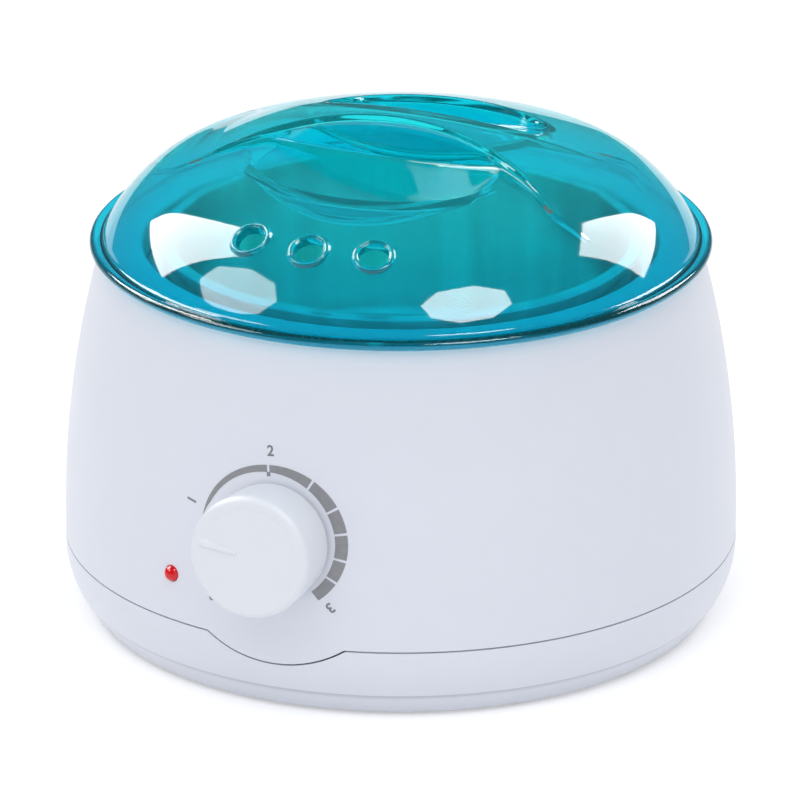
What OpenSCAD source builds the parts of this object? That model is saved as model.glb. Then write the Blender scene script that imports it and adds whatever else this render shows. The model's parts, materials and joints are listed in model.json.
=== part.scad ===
// Wax warmer: a round mains-heated pot warmer with a clear lid.
// The origin lies on the pot's axis, in the plane the warmer stands on.
// The knob faces -Y. All heights are above the table.

/* [Housing] */
// Largest radius of the housing
body_r = 101.8; // [98:0.2:106]
// Height of the widest line
waist_z = 29.2; // [26:0.2:34]
// Radius of the long curve from the widest line up to the rim
side_arc_r = 315; // [280:5:400]
// Radius of the curve that draws the side in under the widest line
heel_arc_r = 26.4; // [24:0.2:32]
// Height where that lower curve starts
heel_z = 21.2; // [20:0.1:24]
// Height of the step that sets off the base band
band_z = 8; // [6.5:0.1:9]
// How far the base band's lower edge lies inside the widest line
band_in = 8.3; // [7:0.1:11]
// How far the base band flares up to the step
band_flare = 4.1; // [3:0.1:4.4]
// Wall of both shells
wall = 2.5; // [2:0.1:3]
// Height of the seam between the two shells
seam_z = 23.6; // [22.8:0.1:26]
// Width of the seam
seam_gap = 0.5; // [0.3:0.05:0.7]
// Height of the raised collar that centres the lid
top_z = 115.5; // [113:0.1:120]
// Drop from the collar to the step that the lid's flange covers
rim_step = 1.2; // [0.8:0.1:1.5]
// Distance from the widest line in to the opening that the pot goes through
mouth_in = 24.8; // [23.8:0.2:26]
// Thickness of the short skirt below the opening
skirt_t = 2.2; // [1.8:0.1:2.4]
// Rounding of the rim's edges
edge_r = 1; // [0.6:0.1:1.1]

/* [Base] */
// How far the foot ring lifts the base off the table
foot_lift = 1.2; // [0.8:0.1:2]
// Height of the recess under the base
base_recess = 0.8; // [0.5:0.1:1.2]
// How far the middle of the rubber foot ring lies inside the widest line
foot_ring_in = 28.8; // [27.8:0.2:31]
// Width of the foot ring
foot_ring_w = 6; // [4:0.5:7]
// Depth of the groove that holds the foot ring
foot_groove = 0.8; // [0.5:0.1:1.2]
// Number of vent slots in the floor
vent_n = 16; // [8:1:20]
// Width of a vent slot
vent_w = 3; // [2:0.2:4]
// Length of a vent slot between its round ends
vent_len = 20; // [10:1:26]
// Distance from the vent slots' outer ends to the heat shield's posts
vent_post_gap = 8; // [6:0.5:12]
// How far the circle of closing screws lies inside the widest line
close_in = 15.8; // [15:0.1:17]
// Outer radius of the screw wells
close_well_r = 5.5; // [5:0.1:5.8]
// Height of the ledge that a closing screw's head pulls on
close_ledge_z = 12; // [9:0.5:14]
// Radius of the bosses that the closing screws bite into
close_boss_r = 4.5; // [4:0.1:5]
// Length of a closing screw
close_screw = 22; // [18:1:24]
// Height of the aluminium shield above the floor
shield_up = 31.5; // [28:0.5:34]
// Distance from the housing's widest line in to the shield's edge
shield_in = 31.8; // [30:0.2:36]
// Sheet of the shield
shield_t = 0.8; // [0.5:0.1:1.2]
// Distance from the shield's edge to its posts
shield_post_in = 6; // [5:0.5:8]
// Radius of the posts that carry the shield
post_r = 3.5; // [3:0.1:4]

/* [Lid] */
// How far the flange's edge lies inside the housing's widest line
flange_in = 8.3; // [6:0.1:9.3]
// Thickness of the flange, with a fully rounded edge
flange_t = 3; // [2.4:0.1:3.4]
// Wall of the lid
lid_wall = 2.5; // [2:0.1:3]
// Height of the dome above the flange's underside
dome_h = 36.2; // [34:0.2:38]
// Radius of the crown's curve
crown_r = 203; // [190:1:230]
// Distance from the housing's widest line in to the end of the crown
crown_in = 34.3; // [32.8:0.1:36.8]
// Radius of the shoulder's curve
shoulder_r = 28.3; // [26:0.1:30]
// Slope where the shoulder ends
shoulder_end = 37.7; // [36:0.1:40]
// Radius of the curve from the shoulder down to the flange
skirt_r = 50.3; // [48:0.1:53]
// Gap between the collar and the inside of the lid
lid_fit = 0.6; // [0.4:0.1:1]
// Width of the handle at its narrow middle
grip_w = 9.6; // [8:0.2:14]
// Radius of the handle's hollow sides
grip_side_r = 91; // [80:1:110]
// Distance from the end of the crown in to the handle's ends
grip_end_in = 5.5; // [4:0.5:10]
// How far the handle's back stands above the dome
grip_rise = 5.1; // [3:0.1:6]
// Radius of the handle's back, seen from the front
grip_back_r = 132.5; // [125:0.5:150]
// Distance from the end of the crown in to the finger scoops' outer edge
scoop_in = 20; // [17:0.5:24]
// Depth of a scoop beside the handle, from the handle's back
scoop_depth = 13.6; // [10:0.2:15]
// Radius of the scoops' rounded floor
scoop_floor_r = 115; // [95:1:140]
// Slope of a scoop's floor, falling away from the handle
scoop_tilt = 6.5; // [3:0.5:9]
// Bore of a vent hole
vent_hole_r = 4.5; // [3:0.1:5]
// Width of the raised ring round a vent hole
vent_ring_w = 1.7; // [1:0.1:2]
// Height of that ring
vent_ring_h = 0.5; // [0.3:0.1:0.8]
// Angle between neighbouring vent holes
vent_hole_step = 15.5; // [13:0.5:20]
// Slope of the dome where the vent holes are
vent_hole_slope = 31.3; // [30:0.1:34]

/* [Pot] */
// Gap between the opening and the pot's wall
pot_gap = 7; // [6.4:0.1:9]
// Sheet of the pot
pot_wall = 1.2; // [1:0.1:1.6]
// Height of the pot
pot_h = 57.2; // [53:0.2:60]
// How far the pot's rim stands above the housing's collar
pot_rise = 1.7; // [0.5:0.1:2.5]
// How far the pot's rim flares out from its wall
pot_flare = 2.5; // [1.9:0.1:3]
// How far the rim is turned down
pot_lip = 2.2; // [1.8:0.1:3]
// Rounding between the pot's wall and floor
pot_corner = 12; // [8:0.5:16]

/* [Heating cup] */
// Gap between the pot and the heating cup's wall
cup_gap = 2; // [1.5:0.1:2.2]
// Sheet of the heating cup
cup_wall = 1.5; // [1:0.1:1.8]
// Drop from the housing's collar to the underside of the cup's flange
cup_drop = 11.2; // [10:0.1:13]
// Distance from the opening out to the edge of the cup's flange
cup_flange_w = 10.5; // [9.8:0.1:11.2]
// Distance from that edge in to the screws that hold the flange
cup_screw_in = 4; // [3.6:0.1:4.4]
// Length of those screws
cup_screw = 6.5; // [5:0.5:8]
// Rounding at the foot of the cup
cup_corner = 9; // [6:0.5:12]
// Height of the gasket between flange and opening
gasket_h = 1.2; // [0.8:0.1:2]
// Thickness of the heater band
heater_t = 1.3; // [1:0.1:1.6]
// Height of the heater band's lower edge above the pot's floor
heater_up = 6; // [4:0.5:7]
// Height of the heater band
heater_h = 26; // [22:0.5:28]
// Thickness of the clamp strap
strap_t = 0.6; // [0.4:0.1:0.8]
// Height of the clamp strap
strap_h = 12; // [8:0.5:14]
// Length of the strap's turned-out lugs
strap_lug = 7; // [6:0.5:8]
// Thickness of the insulation
felt_t = 3; // [2:0.1:3.2]
// How far the insulation reaches past the heater band at either edge
felt_over = 3; // [0:0.5:4]
// Width of the insulation's slot at the strap's lugs
felt_slot = 30; // [24:1:40]
// Radius of the thermostat's sensor bulb
bulb_r = 3; // [2.5:0.1:3.5]
// Half the length of the bulb
bulb_half = 18; // [14:0.5:24]
// Radius of the bulb's capillary tube
tube_r = 0.8; // [0.6:0.1:1]
// Radius of the thermal fuse
fuse_r = 2.4; // [2:0.1:2.8]
// Length of the thermal fuse
fuse_len = 16; // [12:0.5:20]
// Sheet of the saddles that hold bulb and fuse
clip_t = 0.8; // [0.6:0.1:1]
// Width of a saddle
clip_w = 8; // [6:0.5:10]
// Length of a saddle's feet
clip_foot = 4.3; // [3:0.1:5]

/* [Knob and thermostat] */
// Height of the knob's axis where it leaves the wall
knob_z = 55.8; // [53:0.2:60]
// Radius of the knob at its back
knob_back_r = 17.5; // [16:0.1:18]
// Radius of the knob at its face
knob_face_r = 18.5; // [18:0.1:19.5]
// Gap between the wall and the knob
knob_gap = 0.9; // [0.6:0.1:1.5]
// Height of the knob
knob_h = 18.9; // [16:0.1:20]
// Rounding between the knob's side and face
knob_round = 2.2; // [1.5:0.1:2.6]
// Radius of the shallow dish in the knob's face
knob_dish_r = 15.4; // [12:0.1:16]
// Depth of that dish
knob_dish = 0.6; // [0.3:0.1:1]
// Width of the raised pointer at its outer end
pointer_w = 3; // [2:0.1:4]
// Wall of the knob
knob_wall = 2; // [1.6:0.1:2.4]
// Angle of the pointer at rest, from +X, seen from the front
knob_rest = 170; // [0:1:228]
// Radius of the round bay that drops into the lower shell
bay_r = 38.6; // [37:0.1:40]
// Radius of the spindle
spindle_r = 3; // [2.5:0.1:3.2]
// Running gap between the spindle and its bush
spindle_fit = 0.05; // [0.03:0.01:0.08]
// Depth of the flat on the spindle
spindle_flat = 0.8; // [0.5:0.1:1]
// Radius of the thermostat's threaded bush
bush_r = 5; // [4.6:0.1:5.5]
// Radius of the thermostat's body
stat_r = 12.5; // [11:0.1:13]
// Depth of the thermostat's body
stat_depth = 12.5; // [10:0.1:13]
// Width of the bush's nut across its flats
nut_w = 13; // [12.4:0.2:14]
// Height of the nut
nut_h = 2.5; // [2:0.1:2.6]
// Length of the thermostat's tabs
tab_len = 7; // [5:0.5:8]
// Distance from the thermostat's axis to each tab
tab_out = 5; // [4:0.5:6]
// Outer radius of the knob's hub
hub_r = 5.2; // [4.8:0.1:6]
// Height of the clip round the hub
hub_clip_h = 6; // [4:0.5:8]
// Sheet of that clip
hub_clip_t = 0.6; // [0.4:0.1:0.8]

/* [Pilot lamp] */
// Height of the lamp
lamp_z = 38.1; // [36:0.1:42]
// Angle of the lamp round the housing, from the knob
lamp_turn = -20; // [-22:0.5:-18]
// Radius of the lamp
lamp_r = 2.5; // [2:0.1:2.6]
// How far the lamp's dome stands out of the wall
lamp_out = 2; // [1:0.1:2.4]
// Distance from the wall in to the lamp's board
board_in = 12; // [11:0.5:14]
// Width of that board
board_w = 16; // [14:0.5:18]
// Height of that board
board_h = 12; // [10:0.5:14]
// Thickness of that board
board_t = 1.6; // [1:0.1:2]
// Radius of the board's resistor
resistor_r = 1.2; // [1:0.1:1.5]
// Length of the resistor
resistor_len = 6.5; // [5:0.5:8]

/* [Mains inlet] */
// Height of the inlet bush
inlet_z = 14.5; // [14:0.1:16]
// Bore of the inlet bush
inlet_bore_r = 3.3; // [3:0.1:3.6]
// Barrel radius of the inlet bush
inlet_r = 4.6; // [4.4:0.1:4.8]
// Radius of the bush's flange
inlet_flange_r = 6.2; // [5.8:0.1:6.4]
// Thickness of the flange
inlet_flange_t = 1.8; // [1.2:0.1:2.4]
// Length of the inlet bush behind its flange
inlet_len = 9; // [8:0.1:10]
// Distance from the inlet's face in to the lead's clamp
clamp_in = 18; // [17:0.5:22]
// Half the distance between the clamp's screws
clamp_half = 9; // [8:0.1:10]
// Half the length of the clamp
clamp_end = 13; // [12:0.5:14]
// Width of the clamp
clamp_w = 9; // [7:0.5:10]
// Thickness of the clamp
clamp_t = 5; // [4.6:0.1:6]
// Length of the clamp's screws
clamp_screw = 10; // [8:0.5:11]
// Length of the terminal block
block_l = 32; // [30:0.5:36]
// Width of the terminal block
block_w = 18; // [16:0.5:20]
// Height of the terminal block
block_h = 14; // [12:0.5:16]
// Distance between neighbouring terminals
block_pitch = 10; // [9:0.5:11]
// Radius of the internal wires with their sleeve
wire_r = 1; // [0.8:0.1:1.2]

/* [Hidden] */
$fn = 96;

far = 400;
snug = 0.1;
fit = 0.05;

// Housing
band_r = body_r - band_in;
band_groove = 0.5;
mouth_r = body_r - mouth_in;
foot_ring_r = body_r - foot_ring_in;
close_r = body_r - close_in;
base_z = foot_lift;
floor_z = base_z + base_recess;
floor_top = floor_z + wall;
rim_z = top_z - rim_step;
deck_z = rim_z - wall;
close_angles = [45, 135, 225, 315];
cup_screw_angles = [30, 150, 270];

// Radius of the housing's side at a height above the widest line
function side_r(z, inset = 0) =
  body_r - side_arc_r + sqrt(pow(side_arc_r - inset, 2) - pow(z - waist_z, 2));

// Radius of the housing's side at a height below the heel line
function heel_r(z, inset = 0) =
  body_r - heel_arc_r + sqrt(pow(heel_arc_r - inset, 2) - pow(heel_z - z, 2));

// Heating cup's flange
cup_flange_z = top_z - cup_drop;
skirt_z = cup_flange_z + cup_wall + gasket_h;
cup_flange_r = min(mouth_r + cup_flange_w, side_r(skirt_z, wall) - 1);
cup_screw_r = cup_flange_r - cup_screw_in;

// Lid: centres of the three tangent curves of the dome, and the angles where they meet
flange_z = rim_z;
flange_r = body_r - flange_in;
crown_end = body_r - crown_in;
dome_z = flange_z + dome_h;
crown_end_a = asin(crown_end / crown_r);
crown_c = [0, dome_z - crown_r];
shoulder_c = crown_c + (crown_r - shoulder_r) * [sin(crown_end_a), cos(crown_end_a)];
skirt_c = shoulder_c + (shoulder_r - skirt_r) * [sin(shoulder_end), cos(shoulder_end)];
grip_z = dome_z + grip_rise;
grip_end = crown_end - grip_end_in;
scoop_r = crown_end - scoop_in;
scoop_z = grip_z - scoop_depth;

// Radius of the dome's lowest curve at a height
function dome_r(z, inset = 0) =
  skirt_c[0] + sqrt(pow(skirt_r - inset, 2) - pow(z - skirt_c[1], 2));

collar_r = dome_r(flange_z, lid_wall) - lid_fit;

// Pot
pot_r = mouth_r - pot_gap;
pot_rim_r = pot_r + pot_flare;
pot_rim_z = top_z + pot_rise;
pot_z = pot_rim_z - pot_h;

// Heating cup
cup_r = pot_r + cup_gap;
cup_out_r = cup_r + cup_wall;
cup_z = pot_z - cup_wall;
strap_in_r = cup_out_r + snug + heater_t;
felt_in_r = strap_in_r + strap_t + 0.4;
heater_z = pot_z + heater_up;
strap_z = heater_z + (heater_h - strap_h) / 2;

// Knob
knob_seat_r = side_r(knob_z);
knob_tilt = asin((knob_z - waist_z) / side_arc_r);
// How far in the bay's cut reaches, enough for the wall and the ring behind the seam
bay_in = body_r / 4;
pad_h = 5;
hub_h0 = knob_gap + nut_h + 0.8;
knob_top = knob_gap + knob_h;
knob_in_top = knob_top - knob_dish - knob_wall;
spindle_end = knob_in_top - 1.6;
bush_h = 3.4;
spindle_root = -pad_h - 4;

// Pilot lamp
lamp_seat_r = side_r(lamp_z);
lamp_pad = 4.5;
lamp_holder_r = lamp_r + 2;

// Mains inlet
inlet_seat_r = inlet_flange_r + 0.4;
inlet_face = heel_r(inlet_z - inlet_seat_r) - 0.1;
inlet_pad = 4.8;

// Small screws
screw_r = 1.5;
screw_head_r = 3;
screw_head_h = 2.2;
shield_screw = 8;

// Heat shield and pieces on the floor
shield_z = floor_top + shield_up;
shield_r = body_r - shield_in;
shield_post_r = shield_r - shield_post_in;
shield_angles = [30, 150, 270];
vent_out_r = shield_post_r - vent_post_gap;
vent_in_r = vent_out_r - vent_len;
block_size = [block_l, block_w, block_h];
block_at = shield_post_r * [0.5625, 0.71875];
clamp_y = inlet_face - clamp_in;
clamp_z = inlet_z;

// Sensor bulb, fuse and wires
bulb_at = [0, -pot_r / 7, cup_z - bulb_r];
fuse_at = [0, pot_r / 6, cup_z - fuse_r];
// Height of the block's lower row of holes
wire_z = floor_top + block_size[2] / 2;
// Middle radius of the space between the cup and the insulation
wire_way = (cup_out_r + felt_in_r) / 2;
// Direction that the heater leads leave in, from the front
wire_a = 15;

// A place in the base: share of the housing's radius, angle, and share of the way up to the shield
function base_pt(share, a, up) = [
  share * body_r * cos(a), share * body_r * sin(a), floor_top + up * (shield_z - floor_top)
];

// A place between shield and cup: share of the pot's radius, angle, and share of the way down
function under_pt(share, a, down) = [
  share * pot_r * cos(a), share * pot_r * sin(a), cup_z - down * (cup_z - shield_z)
];

// A place given in the knob's frame or in the lamp's
function knob_pt(x, y, h) = [
  x, y * sin(knob_tilt) - h * cos(knob_tilt) - knob_seat_r,
  knob_z + y * cos(knob_tilt) + h * sin(knob_tilt)
];
function lamp_pt(x, y, h) = [
  x * cos(lamp_turn) + (lamp_seat_r + h) * sin(lamp_turn),
  x * sin(lamp_turn) - (lamp_seat_r + h) * cos(lamp_turn), lamp_z + y
];

// Frames and small shapes

// Puts children on the knob's axis, square to the wall, with +Z outwards
module on_knob_axis() {
  translate([0, -knob_seat_r, knob_z]) rotate([90 - knob_tilt, 0, 0]) children();
}

// Puts children on the lamp's axis, with +Z outwards
module on_lamp_axis() {
  rotate([0, 0, lamp_turn]) translate([0, -lamp_seat_r, lamp_z]) rotate([90, 0, 0]) children();
}

// Puts children on the mains inlet's axis at the back, with +Z outwards
module on_inlet_axis() {
  translate([0, inlet_face, inlet_z]) rotate([-90, 0, 0]) children();
}

// Puts children at a radius and at each of some angles
module at_angles(angles, r) {
  for (a = angles) rotate([0, 0, a]) translate([r, 0, 0]) children();
}

// Half plane between two heights, for a revolved section
module slab(z0, z1, r0 = 0, r1 = far) {
  translate([r0, z0]) square([r1 - r0, z1 - z0]);
}

// Rectangle of a revolved section
module strip(r0, r1, z0, z1) {
  translate([r0, z0]) square([r1 - r0, z1 - z0]);
}

// What a rounded edge leaves off: sr and sz say which way the corner points
module corner_off(r, z, rad, sr, sz) {
  side = rad + 0.01;
  translate([r - sr * rad, z - sz * rad]) difference() {
    translate([sr > 0 ? 0 : -side, sz > 0 ? 0 : -side]) square(side);
    circle(r = rad);
  }
}

// Plain ring between two radii
module ring(r0, r1, z0, z1) {
  rotate_extrude() strip(r0, r1, z0, z1);
}

// Tube of round section along a path, with ball joints at its bends
module pipe(path, r) {
  for (i = [0 : len(path) - 2]) {
    run = path[i + 1] - path[i];
    turn = atan2(run[1], run[0]);
    lean = acos(run[2] / norm(run));
    translate(path[i]) rotate([0, lean, turn]) {
      cylinder(r = r, h = norm(run), $fn = 24);
      if (i > 0) sphere(r = 1.05 * r, $fn = 24);
    }
  }
}

// Screw with a pan head at z = 0 and its shank towards -Z
module pan_screw(length, head_r = screw_head_r, head_h = screw_head_h) {
  difference() {
    union() {
      cylinder(r1 = head_r, r2 = 0.8 * head_r, h = head_h);
      translate([0, 0, -length]) cylinder(r = screw_r, h = length + 0.1);
    }
    for (a = [0, 90]) rotate([0, 0, a]) {
      translate([0, 0, head_h]) cube([4 * head_r / 3, head_r / 4, head_h], center = true);
    }
  }
}

// Housing

// Half section of the housing's full outline, drawn in by inset
module housing_half(inset = 0) {
  foot = band_r - inset;
  polygon([[0, base_z], [foot, base_z], [foot + band_flare, band_z], [0, band_z]]);
  intersection() {
    slab(band_z, heel_z);
    union() {
      strip(0, body_r - heel_arc_r, band_z, heel_z);
      translate([body_r - heel_arc_r, heel_z]) circle(r = heel_arc_r - inset);
    }
  }
  strip(0, body_r - inset, heel_z, waist_z);
  intersection() {
    slab(waist_z, rim_z);
    translate([body_r - side_arc_r, waist_z]) circle(r = side_arc_r - inset, $fn = 360);
  }
}

// Shell of the whole housing, open at the top and closed by a floor
module housing_wall() {
  difference() {
    rotate_extrude() housing_half();
    rotate_extrude() intersection() {
      housing_half(wall);
      slab(floor_top, far);
    }
    translate([0, 0, rim_z - wall]) cylinder(r = side_r(rim_z, wall), h = far);
    translate([0, 0, -1]) cylinder(r = band_r - 2 * wall, h = floor_z + 1);
    rotate_extrude() translate([band_r + band_flare, band_z]) circle(r = band_groove, $fn = 24);
  }
}

// Round bay under the knob
module bay(gap) {
  on_knob_axis() translate([0, 0, -bay_in]) cylinder(r = bay_r + gap, h = 2 * bay_in);
}

// Space of the upper shell: all above the seam, and the bay
module above_seam(gap = 0) {
  translate([-far / 2, -far / 2, seam_z - gap]) cube([far, far, far]);
  bay(gap);
}

module top_ring() {
  rotate_extrude() difference() {
    union() {
      strip(mouth_r, collar_r, deck_z, top_z);
      strip(mouth_r, mouth_r + skirt_t, skirt_z, top_z - 0.1);
      intersection() {
        strip(mouth_r, far / 2, deck_z, rim_z);
        housing_half();
      }
    }
    corner_off(mouth_r, top_z, edge_r, -1, 1);
    corner_off(collar_r, top_z, rim_step / 2, 1, 1);
    corner_off(side_r(rim_z), rim_z, edge_r, 1, 1);
  }
}

// Bosses for the closing screws, tied to the wall by a rib
module close_bosses() {
  boss_z = seam_z - 0.8;
  screw_z = close_ledge_z + close_screw;
  at_angles(close_angles, close_r) {
    difference() {
      union() {
        translate([0, 0, boss_z]) cylinder(r = close_boss_r, h = screw_z + 14 - boss_z);
        translate([0, -1, screw_z - 4]) cube([body_r - wall - close_r + 0.5, 2, 16]);
      }
      translate([0, 0, boss_z - 1]) cylinder(r = screw_r + fit, h = screw_z + 3 - boss_z);
    }
  }
}

// Bosses under the deck that carry the heating cup
module cup_bosses() {
  boss_z = cup_flange_z + cup_wall;
  at_angles(cup_screw_angles, cup_screw_r) difference() {
    translate([0, 0, boss_z]) cylinder(r = post_r, h = deck_z - boss_z + 0.5);
    translate([0, 0, boss_z - 1]) cylinder(r = screw_r + fit, h = cup_screw + 0.5);
  }
}

module upper_housing() color("ghostwhite") {
  difference() {
    union() {
      intersection() {
        difference() {
          housing_wall();
          cylinder(r = band_r - wall, h = floor_top + 1);
        }
        above_seam();
      }
      top_ring();
      close_bosses();
      cup_bosses();
      on_knob_axis() translate([0, 0, -pad_h]) cylinder(r = stat_r + 1.5, h = pad_h - wall / 2);
      on_lamp_axis() translate([0, 0, -lamp_pad]) cylinder(r = lamp_holder_r + 1.5, h = lamp_pad - wall / 2);
    }
    on_knob_axis() translate([0, 0, -pad_h - 1]) cylinder(r = bush_r + 0.15, h = pad_h + 4);
    on_lamp_axis() translate([0, 0, -lamp_pad - 1]) cylinder(r = lamp_r + 0.1, h = lamp_pad + 4);
  }
}

// Ring behind the seam that keeps the two shells in line
module seam_tongue() {
  out_r = body_r - wall;
  difference() {
    rotate_extrude() {
      strip(out_r - 1.7, out_r + 0.3, heel_z - 4, seam_z - seam_gap);
      strip(out_r - 1.7, out_r - 0.3, heel_z - 4, seam_z + 4);
    }
    bay(2 * seam_gap);
  }
}

module vent_slot() {
  for (r = [vent_in_r, vent_out_r]) {
    translate([r, 0, -1]) cylinder(r = vent_w / 2, h = floor_top + 2, $fn = 24);
  }
  translate([vent_in_r, -vent_w / 2, -1]) cube([vent_out_r - vent_in_r, vent_w, floor_top + 2]);
}

// Way of a mains lead between the clamp and its rest
module cord_way() {
  translate([0, clamp_y, clamp_z]) rotate([90, 0, 0]) {
    cylinder(r = inlet_bore_r, h = 2 * clamp_w, center = true);
  }
}

module floor_posts() {
  at_angles(shield_angles, shield_post_r) {
    translate([0, 0, floor_top - 0.5]) cylinder(r = post_r, h = shield_up + 0.5);
  }
  translate([-clamp_end, clamp_y - clamp_w / 2, floor_top - 0.5]) {
    cube([2 * clamp_end, clamp_w, clamp_z - floor_top + 0.5]);
  }
}

module floor_post_bores() {
  at_angles(shield_angles, shield_post_r) {
    translate([0, 0, shield_z - shield_screw - 1]) cylinder(r = screw_r + fit, h = shield_screw + 2);
  }
  for (s = [-1, 1]) {
    translate([s * clamp_half, clamp_y, clamp_z + clamp_t - clamp_screw - 1]) {
        cylinder(r = screw_r + fit, h = clamp_screw);
      }
  }
  cord_way();
}

module lower_housing() color("ghostwhite") {
  well_top = seam_z - 1;
  difference() {
    union() {
      difference() {
        housing_wall();
        above_seam(seam_gap);
      }
      seam_tongue();
      at_angles(close_angles, close_r) {
        translate([0, 0, floor_z]) cylinder(r = close_well_r, h = well_top - floor_z);
      }
      floor_posts();
      on_inlet_axis() translate([0, 0, -inlet_pad]) cylinder(r = inlet_seat_r + 0.9, h = inlet_pad);
    }
    at_angles(close_angles, close_r) {
      translate([0, 0, -1]) cylinder(r = screw_head_r + 0.8, h = close_ledge_z + 1);
      cylinder(r = screw_r + 0.3, h = far / 4);
    }
    for (i = [0 : vent_n - 1]) rotate([0, 0, (i + 0.5) * 360 / vent_n]) vent_slot();
    ring(foot_ring_r - foot_ring_w / 2 - snug, foot_ring_r + foot_ring_w / 2 + snug,
         -1, floor_z + foot_groove);
    floor_post_bores();
    on_inlet_axis() {
      translate([0, 0, -inlet_pad - 1]) cylinder(r = inlet_r + fit, h = inlet_pad + 2);
      cylinder(r = inlet_seat_r, h = 20);
    }
  }
}

module foot_ring() color("dimgray") {
  r0 = foot_ring_r - foot_ring_w / 2;
  r1 = foot_ring_r + foot_ring_w / 2;
  rotate_extrude() difference() {
    strip(r0, r1, 0, floor_z + foot_groove);
    corner_off(r0, 0, 0.6, -1, -1);
    corner_off(r1, 0, 0.6, 1, -1);
  }
}

module base_screws() color("silver") {
  at_angles(close_angles, close_r) {
    translate([0, 0, close_ledge_z]) rotate([180, 0, 0]) pan_screw(close_screw);
  }
}

// Lid

// Half section under the dome, drawn in by inset, down to a height
module dome_half(inset, z0) {
  crown_b = (crown_r - inset) * sin(crown_end_a);
  shoulder_b = shoulder_c[0] + (shoulder_r - inset) * sin(shoulder_end);
  intersection() {
    slab(z0, far, 0, crown_b);
    translate(crown_c) circle(r = crown_r - inset, $fn = 360);
  }
  intersection() {
    slab(z0, far, crown_b - 0.01, shoulder_b);
    translate(shoulder_c) circle(r = shoulder_r - inset, $fn = 180);
  }
  intersection() {
    slab(z0, far, shoulder_b - 0.01);
    translate(skirt_c) circle(r = skirt_r - inset, $fn = 180);
  }
}

// Back of the handle: a shallow ball cap, cut in at both sides
module grip_body(inset) {
  difference() {
    intersection() {
      translate([0, 0, grip_z - grip_back_r]) sphere(r = grip_back_r - inset, $fn = 360);
      translate([0, 0, dome_z]) cube([2 * grip_end, 2 * scoop_r, 40], center = true);
    }
    for (s = [-1, 1]) translate([0, s * (grip_w / 2 + grip_side_r), 0]) {
      cylinder(r = grip_side_r + inset, h = far, $fn = 180);
    }
  }
}

// Finger scoop in front of the handle, made larger by grow
module scoop(grow) {
  intersection() {
    cylinder(r = scoop_r + grow, h = far);
    translate([0, -grip_w / 2 - grip_side_r, 0]) cylinder(r = grip_side_r + grow, h = far, $fn = 180);
    translate([0, -grip_w / 2, scoop_z]) rotate([scoop_tilt, 0, 0]) {
      translate([0, 0, scoop_floor_r]) rotate([90, 0, 0]) {
        cylinder(r = scoop_floor_r + grow, h = far, center = true, $fn = 180);
      }
    }
  }
}

module both_scoops(grow) {
  scoop(grow);
  mirror([0, 1, 0]) scoop(grow);
}

// Puts children at each vent hole, with +Z out of the dome
module at_vent_holes() {
  at = shoulder_c + shoulder_r * [sin(vent_hole_slope), cos(vent_hole_slope)];
  for (i = [-1, 0, 1]) rotate([0, 0, i * vent_hole_step - 90]) {
    translate([at[0], 0, at[1]]) rotate([0, vent_hole_slope, 0]) children();
  }
}

module lid() color("darkturquoise", 0.6) {
  difference() {
    union() {
      difference() {
        union() {
          rotate_extrude() dome_half(0, flange_z);
          grip_body(0);
          at_vent_holes() translate([0, 0, -1]) {
            cylinder(r = vent_hole_r + vent_ring_w, h = 1 + vent_ring_h);
          }
        }
        both_scoops(0);
      }
      rotate_extrude() {
        strip(dome_r(flange_z, lid_wall) - 0.01, flange_r - flange_t / 2,
              flange_z, flange_z + flange_t);
        translate([flange_r - flange_t / 2, flange_z + flange_t / 2]) circle(r = flange_t / 2);
      }
    }
    difference() {
      union() {
        rotate_extrude() dome_half(lid_wall, flange_z - 1);
        grip_body(lid_wall);
      }
      both_scoops(lid_wall);
    }
    at_vent_holes() cylinder(r = vent_hole_r, h = 20, center = true);
  }
}

// Pot

// Half section of the pot's body, drawn in by inset and open upwards
module pot_half(inset) {
  r = pot_r - inset;
  z = pot_z + inset;
  corner = pot_corner - inset;
  strip(0, r - corner, z, pot_rim_z + inset);
  strip(0, r, z + corner, pot_rim_z + inset);
  translate([r - corner, z + corner]) circle(r = corner);
}

module inner_pot() color("gainsboro") {
  rotate_extrude() difference() {
    union() {
      intersection() {
        pot_half(0);
        slab(0, pot_rim_z);
      }
      strip(pot_r - pot_wall, pot_rim_r - pot_wall, pot_rim_z - pot_wall, pot_rim_z);
      strip(pot_rim_r - pot_wall, pot_rim_r, pot_rim_z - pot_lip, pot_rim_z - pot_wall);
      translate([pot_rim_r - pot_wall, pot_rim_z - pot_wall]) circle(r = pot_wall);
    }
    pot_half(pot_wall);
    corner_off(pot_r - pot_wall, pot_rim_z, pot_wall / 2, -1, 1);
  }
}

// Heating cup and what is on it

module cup_half(inset) {
  r = cup_out_r - inset;
  z = cup_z + inset;
  corner = cup_corner - inset;
  strip(0, r - corner, z, far);
  strip(0, r, z + corner, far);
  translate([r - corner, z + corner]) circle(r = corner);
}

module heating_well() color("lightgray") {
  flange_top = cup_flange_z + cup_wall;
  difference() {
    rotate_extrude() difference() {
      union() {
        intersection() {
          cup_half(0);
          slab(0, flange_top);
        }
        strip(cup_r, cup_flange_r, cup_flange_z, flange_top);
      }
      cup_half(cup_wall);
    }
    at_angles(cup_screw_angles, cup_screw_r) {
      translate([0, 0, cup_flange_z - 1]) cylinder(r = screw_r + 0.3, h = cup_wall + 2);
    }
  }
}

module well_gasket() color("firebrick") {
  z0 = cup_flange_z + cup_wall;
  ring(mouth_r, mouth_r + skirt_t, z0, z0 + gasket_h);
}

module well_screws() color("silver") {
  at_angles(cup_screw_angles, cup_screw_r) {
    translate([0, 0, cup_flange_z]) rotate([180, 0, 0]) pan_screw(cup_screw);
  }
}

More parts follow.
